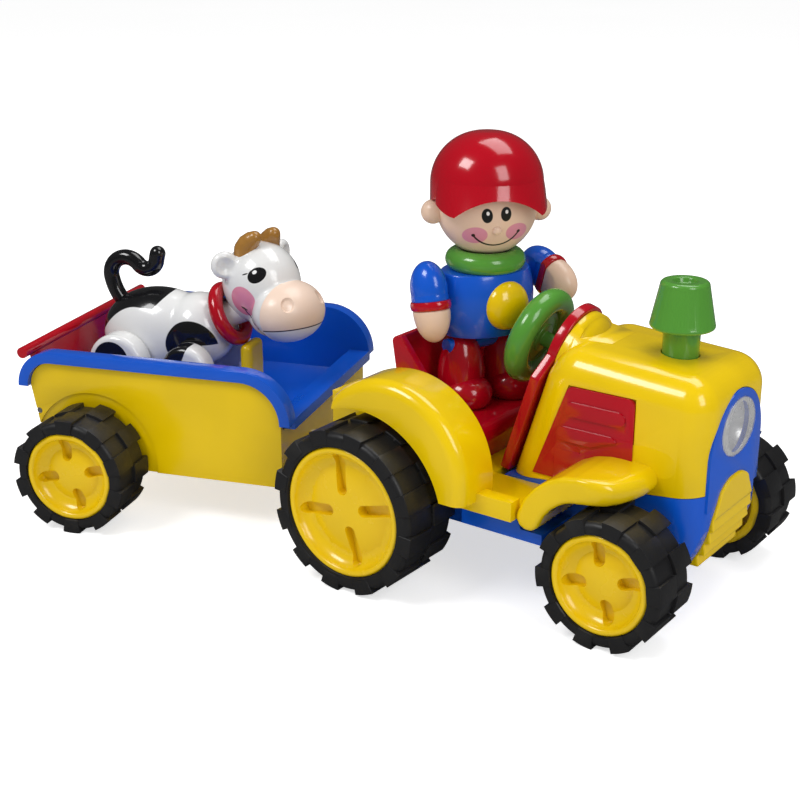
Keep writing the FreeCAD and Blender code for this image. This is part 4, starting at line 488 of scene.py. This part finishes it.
# The middle of each block that lengthens a side panel, forward and up, and its half sizes.
APRONS = (((84.5, 60), (10.5, 8)), ((69, 52), (6, 7)))
shell = round_over(merged_copy("bonnet"), 1.4)
for sign in (-1, 1):
    carve(shell, carried(block((88, sign * (BODY_HALF + 20), 52), (30, 20, 20)), TRACTOR))
RIDGE = TRACTOR @ shift(62, 0, 97.5) @ turn(3.78, "Y")
carve(shell, carried(block((11, 0, 7.05), (10, 22, 7)), RIDGE))
pod_end = slice_off(orb((60, 0, 87), (8, 17, 17)), (61.5, 0, 100), (-0.954, 0, 0.301))
carried(pod_end, TRACTOR)
guards = []
for sign in (-1, 1):
    logs = []
    for first, second in zip(GUARD_LINE, GUARD_LINE[1:]):
        for count in range(SUBSTEPS):
            x, z, reach = Vector(first).lerp(Vector(second), count / SUBSTEPS)
            place = shift(x, sign * (reach + GUARD_ROOT) / 2, z) @ turn(90, "X")
            logs.append(post(GUARD_HALF, GUARD_HALF, reach - GUARD_ROOT, place))
    guards.append(carried(weld(logs, 0.8, 14), TRACTOR))
take_place(gather(shell, pod_end, *guards), "bonnet")
for side, sign in (("right", -1), ("left", 1)):
    panel = merged_copy(f"side_panel_{side}")
    for (x, z), (half_x, half_z) in APRONS:
        apron = block((x, sign * PANEL_ASIDE, z), (half_x, PANEL_HALF, half_z))
        carve(panel, carried(apron, TRACTOR), "UNION")
    take_place(round_over(panel, 0.5), f"side_panel_{side}")
print("bonnet and mudguards done")

# %% [markdown]
# The headlamp is wider than it is high. A silver rim lies round the bowl on the nose, and a clear dome
# covers both. The grille lies close to the nose.

# %% Headlamp and grille
LAMP = (122.6, 0, 72)
BOWL_RADIUS = 9.6
LENS_HALVES = (2.6, 14, 11)
GRILLE_BACK = 0.8
NOSE = shift(*LAMP) @ turn(90, "Y")
silver = carve(post(10.6, 13.8, 0.5, NOSE), post(BOWL_RADIUS, BOWL_RADIUS, THROUGH, NOSE))
bowl = round_over(merged_copy("headlamp_reflector"), 0.3)
take_place(gather(bowl, carried(silver, TRACTOR)), "headlamp_reflector")
lens = slice_off(orb(LAMP, LENS_HALVES), (122.62, 0, 0), (-1, 0, 0))
settle(lens, "headlamp_lens", TRACTOR)
settle(weld([merged_copy("grille")], 0.45, 6), "grille", shift(-GRILLE_BACK, 0, 0))
print("headlamp and grille done")

# %% [markdown]
# The steering wheel is one fat green ring whose middle is closed by a shallow dish. Both lie round the axis
# on which the wheel turns, so it looks the same at any angle.

# %% Steering wheel
STEERING = TRACTOR @ shift(38.2, 0, 91.15) @ turn(107.5, "Y")
RING_RADIUS = 15.1
RING_THICKNESS = 4.8
ring = hoop(STEERING, RING_RADIUS, RING_THICKNESS)
dish = carried(orb((0, 0, 0), (12, 12, 2.4)), STEERING)
take_place(gather(round_over(merged_copy("steering_wheel"), 0.5), ring, dish), "steering_wheel")
print("steering wheel done")


# %% [markdown]
# The driver is a chunky play figure: a barrel of a torso with flat ends, a thick collar like a tube, a
# button as big as a hand, and boots whose leg and toe meet in a crease.

# %% Driver's body
DRIVER = TRACTOR @ shift(10.5, 3, 59.85) @ turn(-20, "Z")
BOOT_ASIDE = 11
LEG_TOP = 28.2
WAIST = 28.5
TORSO_TOP = 54
TORSO_MIDDLE = (0, 0, 42)
TORSO_HALVES = (16, 21.5, 26)
COLLAR_Z = 57.6
COLLAR_RADIUS = 11.6
COLLAR_THICKNESS = 4.4
SEAM = 0.03
for side, sign in (("right", -1), ("left", 1)):
    leg = slice_off(orb((0, sign * BOOT_ASIDE, 10), (9.4, 9.9, 19.5)), (0, 0, 0), (0, 0, -1))
    slice_off(leg, (0, 0, LEG_TOP), (0, 0, 1))
    toe = slice_off(orb((4, sign * BOOT_ASIDE, 4.5), (10.8, 10.3, 8.2)), (0, 0, 0), (0, 0, -1))
    settle(carve(leg, toe, "UNION"), f"driver_boot_{side}", DRIVER)

torso = orb(TORSO_MIDDLE, TORSO_HALVES, 80, 48)
slice_off(torso, (0, 0, WAIST), (0, 0, -1))
slice_off(torso, (0, 0, TORSO_TOP), (0, 0, 1))
settle(round_over(torso, 2.5, 6), "driver_torso", DRIVER)
collar = hoop(shift(0, 0, COLLAR_Z), COLLAR_RADIUS, COLLAR_THICKNESS)
settle(slice_off(collar, (0, 0, TORSO_TOP + SEAM), (0, 0, -1)), "driver_collar", DRIVER)
chest = orb(TORSO_MIDDLE, [half + SEAM for half in TORSO_HALVES], 80, 48)
button = carve(orb((14.4, 0, 41.5), (6.2, 9.8, 9.8)), chest)
settle(button, "driver_button", DRIVER)
print("driver's body done")

# %% [markdown]
# A face on a moulded head is printed in a few flat inks, and each eye also gets a painted highlight, a small
# white glint. Each ink is a mask that reads how far a place on the skin lies across and up the face, so the
# print stays sharp at any size.

# %% Prints


def oval(ink, across, up, centre, halves, tilt=0.0, edge=0.1):
    """1 inside a printed oval and 0 outside, in millimetres on the face."""
    c = math.cos(math.radians(tilt))
    s = math.sin(math.radians(tilt))
    dx = across - centre[0]
    dy = up - centre[1]
    a = (dx * c + dy * s) / halves[0]
    b = (dy * c - dx * s) / halves[1]
    return 1 - ink.step(a * a + b * b, 1 - edge, 1 + edge)


def curved_line(ink, across, up, centre, radius, width, start, end):
    """1 on a printed arc between two angles, counted from straight down."""
    dx = across - centre[0]
    dy = up - centre[1]
    reach = ink.maths("SQRT", dx * dx + dy * dy)
    line = 1 - ink.step(abs(reach - radius), width * 0.35, width * 0.65)
    angle = ink.maths("ARCTAN2", dx, dy * -1)
    inside = ink.step(angle, math.radians(start - 1), math.radians(start)) * (
        1 - ink.step(angle, math.radians(end), math.radians(end + 1)))
    return line * inside


print("prints ready")

# %% [markdown]
# The head rests in the ring of the collar, so its height follows from the two sizes. The face looks a little
# down and aside, and the prints, the painted eye highlights and the nose follow that gaze.

# %% Driver's head
HEAD_RADIUS = 20
HEAD_GAP = 0.35
HEAD_REACH = HEAD_RADIUS + COLLAR_THICKNESS + HEAD_GAP
HEAD_Z = COLLAR_Z + math.sqrt(HEAD_REACH ** 2 - COLLAR_RADIUS ** 2)
HEAD = DRIVER @ shift(0, 0, HEAD_Z) @ turn(-25, "Z")
face = moulded("face_prints_and_painted_glints", SKIN, 0.34, 0.2, 0.03)
GAZE = turn(8, "Y") @ turn(4, "X")
ahead, across, up = face.local(HEAD @ GAZE)
front = face.step(ahead, 0, 2)
for sign in (-1, 1):
    cheek = oval(face, across, up, (sign * 8.1, -6.1), (4.6, 3.7), -12 * sign)
    face.lay_on(cheek * front, (0.70, 0.27, 0.37))
for sign in (-1, 1):
    eye = oval(face, across, up, (sign * 3.65, 2.2), (2.1, 2.8))
    face.lay_on(eye * front, BLACK)
    # Painted highlight: a small white glint on each eye stands in for a lamp's reflection.
    painted_eye_glint = oval(face, across, up, (sign * 3.65 + 0.3, 3.1), (0.6, 0.75), edge=0.3)
    face.lay_on(painted_eye_glint * front, (0.9, 0.9, 0.9))
mouth = curved_line(face, across, up, (0, -0.5), 10.4, 0.75, -58, 58)
for sign in (-1, 1):
    mouth = mouth | oval(face, across, up, (sign * 8.8, -6.0), (0.7, 0.7), edge=0.3)
face.lay_on(mouth * front, BLACK)

skull = orb((0, 0, 0), (HEAD_RADIUS, HEAD_RADIUS, HEAD_RADIUS), 96, 56)
for sign in (-1, 1):
    skull = carve(skull, orb((0, sign * 21.2, -2.5), (4.8, 4.8, 4.8)), "UNION")
nose = orb(GAZE @ Vector((19.2, 0, -4)), (1.9, 1.9, 1.9), 32, 20)
settle(carve(skull, nose, "UNION"), "driver_head", HEAD, face, 60)
print("driver's head done")

# %% [markdown]
# The cap is a helmet of straight walls under a flat dome. Its peak is a flap as wide as the cap: part of a
# tube that leans forward, trimmed to an arch over the eyes and to round corners beside them.

# %% Driver's cap
CAP_RADIUS = 22.2
CAP_TOP = 28.4
CAP_LENGTH = 80
ARCH_RADIUS = 25.2
ARCH_TOP = 5.8
crown_place = shift(0, 0, CAP_TOP - CAP_LENGTH / 2)
crown = round_over(post(CAP_RADIUS, CAP_RADIUS, CAP_LENGTH, crown_place), 20, 24)
slice_off(crown, (0, 0, 2), (0.26, 0, -0.966))
PEAK = shift(0, 0, 10.5) @ turn(-33, "Y")
AHEAD = turn(90, "Y")
peak = carve(post(18.6, CAP_RADIUS, CAP_LENGTH, PEAK), post(16.8, 20.4, CAP_LENGTH, PEAK))
carve(peak, round_over(block((20, 0, 10.7), (30, 22.5, 11.5)), 5.5, 6), "INTERSECT")
arch = shift(20, 0, ARCH_TOP - ARCH_RADIUS) @ AHEAD
carve(peak, post(ARCH_RADIUS, ARCH_RADIUS, CAP_LENGTH, arch))
slice_off(peak, (8, 0, 0), (-1, 0, 0))
slice_off(peak, (0, 0, 18), (0, 0, 1))
cap = carve(crown, round_over(peak, 0.8, 4), "UNION")
settle(round_over(cap, 0.4, 2, 40), "driver_cap", HEAD)
print("driver's cap done")

# %% [markdown]
# Each arm is a sleeve, a cuff and a hand, cut flat on the inner side, where it lies against the torso. It is
# made hanging down and is then swung forward about the shoulder.

# %% Driver's arms
ARM_ASIDE = 5.6
for side, sign, swing in (("right", -1, 12), ("left", 1, 72)):
    shoulder = DRIVER @ shift(0, sign * 21.85, 51) @ turn(-swing, "Y")
    y = sign * ARM_ASIDE
    inner = ((0, 0, 0), (0, -sign, 0))
    sleeve = carve(orb((0, y, -2), (8.3, 6.9, 11)), orb((0, y, -6), (8.3, 6.9, 11)), "UNION")
    slice_off(sleeve, (0, 0, -6.5), (0, 0, -1))
    settle(round_over(slice_off(sleeve, *inner), 0.6), f"driver_sleeve_{side}", shoulder)
    cuff = orb((0, y, -8.25), (9.2, 7.5, 5.6))
    slice_off(cuff, (0, 0, -6.53), (0, 0, 1))
    slice_off(cuff, (0, 0, -10), (0, 0, -1))
    settle(round_over(slice_off(cuff, *inner), 0.7), f"driver_cuff_{side}", shoulder)
    hand = slice_off(orb((0, y, -11), (8.4, 6.8, 12)), (0, 0, -10.03), (0, 0, 1))
    settle(round_over(slice_off(hand, *inner), 0.8, 4), f"driver_hand_{side}", shoulder)
print("driver's arms done")

# %% [markdown]
# The cow is printed with black patches that follow no seam. A patch is a mask in the cow's own frame: how
# far along the body and how far up. The barrel, chest and throat are one moulding on the toy, so the solid
# is wrapped in one skin and the creases between its shapes are smoothed away.

# %% Cow's body and legs
COW = TRAILER @ shift(-82, 0, 41.3)
hide = moulded("printed_hide", WHITE, 0.18, 0.5, 0.01)
along, aside, height = hide.local(COW)
behind = hide.maths("MAXIMUM", -6 - along, 0)
saddle = hide.step(height + behind * behind * 0.035, 39.5, 39.9)
saddle = saddle * (1 - hide.step(along - (height - 41) * 0.9, 2.8, 3.2))
shoulder = oval(hide, along, height, (20.5, 25), (11.3, 11.3), edge=0.03) * hide.step(abs(aside), 6, 6.5)
shoulder = shoulder * (1 - hide.step(along, 25.8, 26.2) * (1 - hide.step(height, 25.3, 25.7)))
hide.lay_on(saddle | shoulder, BLACK)
settle(weld([merged_copy("cow_body")], 0.8, 14), "cow_body", Matrix(), hide)

thigh = moulded("printed_thigh", WHITE, 0.18, 0.5, 0.01)
along, aside, height = thigh.local(COW)
patch = oval(thigh, along, height, (-12.5, 19.0), (8.3, 8.3), edge=0.04)
thigh.lay_on(patch * thigh.step(abs(aside), 24, 24.4), BLACK)
shin = moulded("printed_shin", WHITE, 0.18, 0.5, 0.01)
along, aside, height = shin.local(COW)
shin.lay_on((1 - shin.step(along - height * 0.4, 12.9, 13.3)) * shin.step(abs(aside), 17.5, 18), BLACK)
for end, ink in (("rear", thigh), ("front", shin)):
    for side in ("right", "left"):
        node = f"cow_{end}_leg_{side}"
        settle(round_over(merged_copy(node), 0.6), node, Matrix(), ink)
settle(weld([merged_copy("cow_bell")], 0.5, 14), "cow_bell", Matrix())
print("cow's body, legs and bell done")

# %% [markdown]
# The cow looks round at whoever plays with it. Its head is a ball and a broad snout under one skin, with
# cupped ears. The muzzle is a cap of vinyl over the front of the snout, with two nostril dimples, and the
# mouth is one printed line that runs round the snout and up into the cheek.

# %% Cow's head
FACE = shift(48.2, 2.9, 51.5) @ turn(-26.6, "Z")
NECK_LIFT = math.radians(24.5)
NECK_LINE = Vector((math.cos(NECK_LIFT), 0, math.sin(NECK_LIFT)))


def cow_face(name, colour, roughness, coat):
    """Cow plastic, and the coordinates of the cow's face on it."""
    ink = moulded(name, colour, roughness, coat, 0.01)
    ahead, across, up = ink.local(COW @ FACE)
    return ink, ahead, across, up


brow, ahead, across, up = cow_face("brow_prints_and_painted_glint", WHITE, 0.18, 0.5)
flank = brow.step(abs(across), 3, 3.5)
brow.lay_on(oval(brow, ahead, up, (4.6, -4.8), (6.2, 6.8), edge=0.05) * flank, (0.72, 0.25, 0.36))
brow.lay_on(oval(brow, ahead, up, (10.3, 7.2), (3.2, 3.3), -16, 0.06) * flank, BLACK)
# Painted highlight: the small white dot in the eye stands in for a glint of light.
brow.lay_on(oval(brow, ahead, up, (9.4, 8.5), (0.8, 0.8), edge=0.2) * flank, (0.9, 0.9, 0.9))
brow.lay_on(brow.step(ahead, 18.6, 18.8), PINK)
lash = oval(brow, ahead, up, (5.7, 7.4), (1.3, 0.3), 20, 0.3)
tick = oval(brow, ahead, up, (4.6, -8.0), (1.5, 0.5), -30, 0.2)
mouth = curved_line(brow, ahead, up, (12.1, -8.2), 7.3, 0.55, -90, 12)
brow.lay_on((lash | tick | mouth) * flank, BLACK)

skull = orb((0, 0, 0), (18.5, 16.5, 18.5))
snout = orb((16.6, 0, -9.5), (14.2, 16.4, 13))
jaw = orb((11, 0, -14), (14, 12.5, 8.5))
ears = []
for sign in (-1, 1):
    flap = turn(sign * 25, "Z")
    root = Vector((-5, sign * 16.5, 10))
    ear = orb(root, (3.4, 6.2, 6.2), tilt=flap)
    cup = orb(root + flap.to_3x3() @ Vector((3.4, 0, 0)), (2.6, 4.3, 4.2), tilt=flap)
    ears.append(carve(ear, cup))
head = carried(weld([skull, snout, jaw, *ears], 0.7, 8), FACE)
slice_off(head, NECK_LINE * 3.7 + Vector((34, 0, 37)), -NECK_LINE)
settle(head, "cow_head", COW, brow)

vinyl, ahead, _, up = cow_face("printed_vinyl", PINK, 0.34, 0.2)
lip = up + 15.5 - (ahead - 17) * 0.12
vinyl.lay_on(1 - vinyl.step(lip, -0.1, 0.1), WHITE)
vinyl.lay_on(1 - vinyl.step(abs(lip), 0.2, 0.36), BLACK)
muzzle = slice_off(orb((17, 0, -9.5), (15, 17, 13.5), 96, 64), (17.6, 0, 0), (-1, 0, 0))
for sign in (-1, 1):
    carve(muzzle, orb((28.4, sign * 10.2, -1.2), (3.6, 3.6, 5.0)))
settle(carried(round_over(muzzle, 0.6, 3, 28), FACE), "cow_muzzle", COW, vinyl)

# The balls that make up a horn: place and radius.
HORN_BALLS = (
    (-2.5, 6.5, 13, 5.3), (-2.3, 6.5, 15.6, 5.2), (-1.2, 6.3, 17.8, 4.8),
    (0.6, 5.9, 19.8, 4.1), (2.6, 5.4, 21.4, 3.2),
)
horns = []
for sign in (-1, 1):
    for x, y, z, size in HORN_BALLS:
        horns.append(orb((x, sign * y, z), (size, size, size)))
settle(carried(weld(horns, 0.6, 10), FACE), "cow_horns", COW)
print("cow's head done")


# %% [markdown]
# The studio is a large pale floor under soft light from above and both sides, as a catalogue picture has.
# Seen directly the paper glows a little, so that it comes out white while the toy keeps a faint shadow.

# %% Floor and light
bpy.ops.object.select_all(action="DESELECT")
bpy.ops.mesh.primitive_plane_add(size=40)
floor = bpy.context.object
floor.name = "studio_floor"
paper = Finish("studio_paper", (0.9, 0.9, 0.9), 0.7)
seen, mirrored = paper.node("ShaderNodeLightPath", out=(0, 3))
paper.tint(paper.blend(mirrored, paper.base, (0.15, 0.15, 0.15)))
paper.set("Emission Color", paper.blend(seen, (0, 0, 0), (0.62, 0.62, 0.62)))
paper.set("Emission Strength", 1.0)
paper.set("Roughness", 0.62 + paper.noise(3, 2) * 0.1)
floor.data.materials.append(paper.material)

world = bpy.data.worlds.new("studio")
bpy.context.scene.world = world
world.use_nodes = True
sky = world.node_tree.nodes["Background"]
rays = world.node_tree.nodes.new("ShaderNodeLightPath")
shine = world.node_tree.nodes.new("ShaderNodeMix")
shine.data_type = "RGBA"
shine.inputs[6].default_value = (0.45, 0.45, 0.45, 1)
shine.inputs[7].default_value = (0.06, 0.06, 0.06, 1)
world.node_tree.links.new(rays.outputs["Is Glossy Ray"], shine.inputs[0])
world.node_tree.links.new(shine.outputs[2], sky.inputs["Color"])
sky.inputs["Strength"].default_value = 1.0


def soft_light(name, place, target, width, height, power):
    data = bpy.data.lights.new(name, "AREA")
    data.shape = "RECTANGLE"
    data.size = width
    data.size_y = height
    data.energy = power
    lamp = bpy.data.objects.new(name, data)
    bpy.context.scene.collection.objects.link(lamp)
    lamp.location = place
    lamp.rotation_euler = (Vector(target) - Vector(place)).to_track_quat("-Z", "Y").to_euler()


middle = (0, 0, 0.06)
soft_light("key", (-0.35, -0.75, 1.0), middle, 0.5, 0.4, 6.1)
soft_light("fill", (0.95, -0.35, 0.7), middle, 0.4, 0.6, 3.3)
soft_light("top", (0.1, 0.35, 1.1), middle, 0.8, 0.5, 4.4)
print("floor and", len(bpy.data.lights), "lamps done")
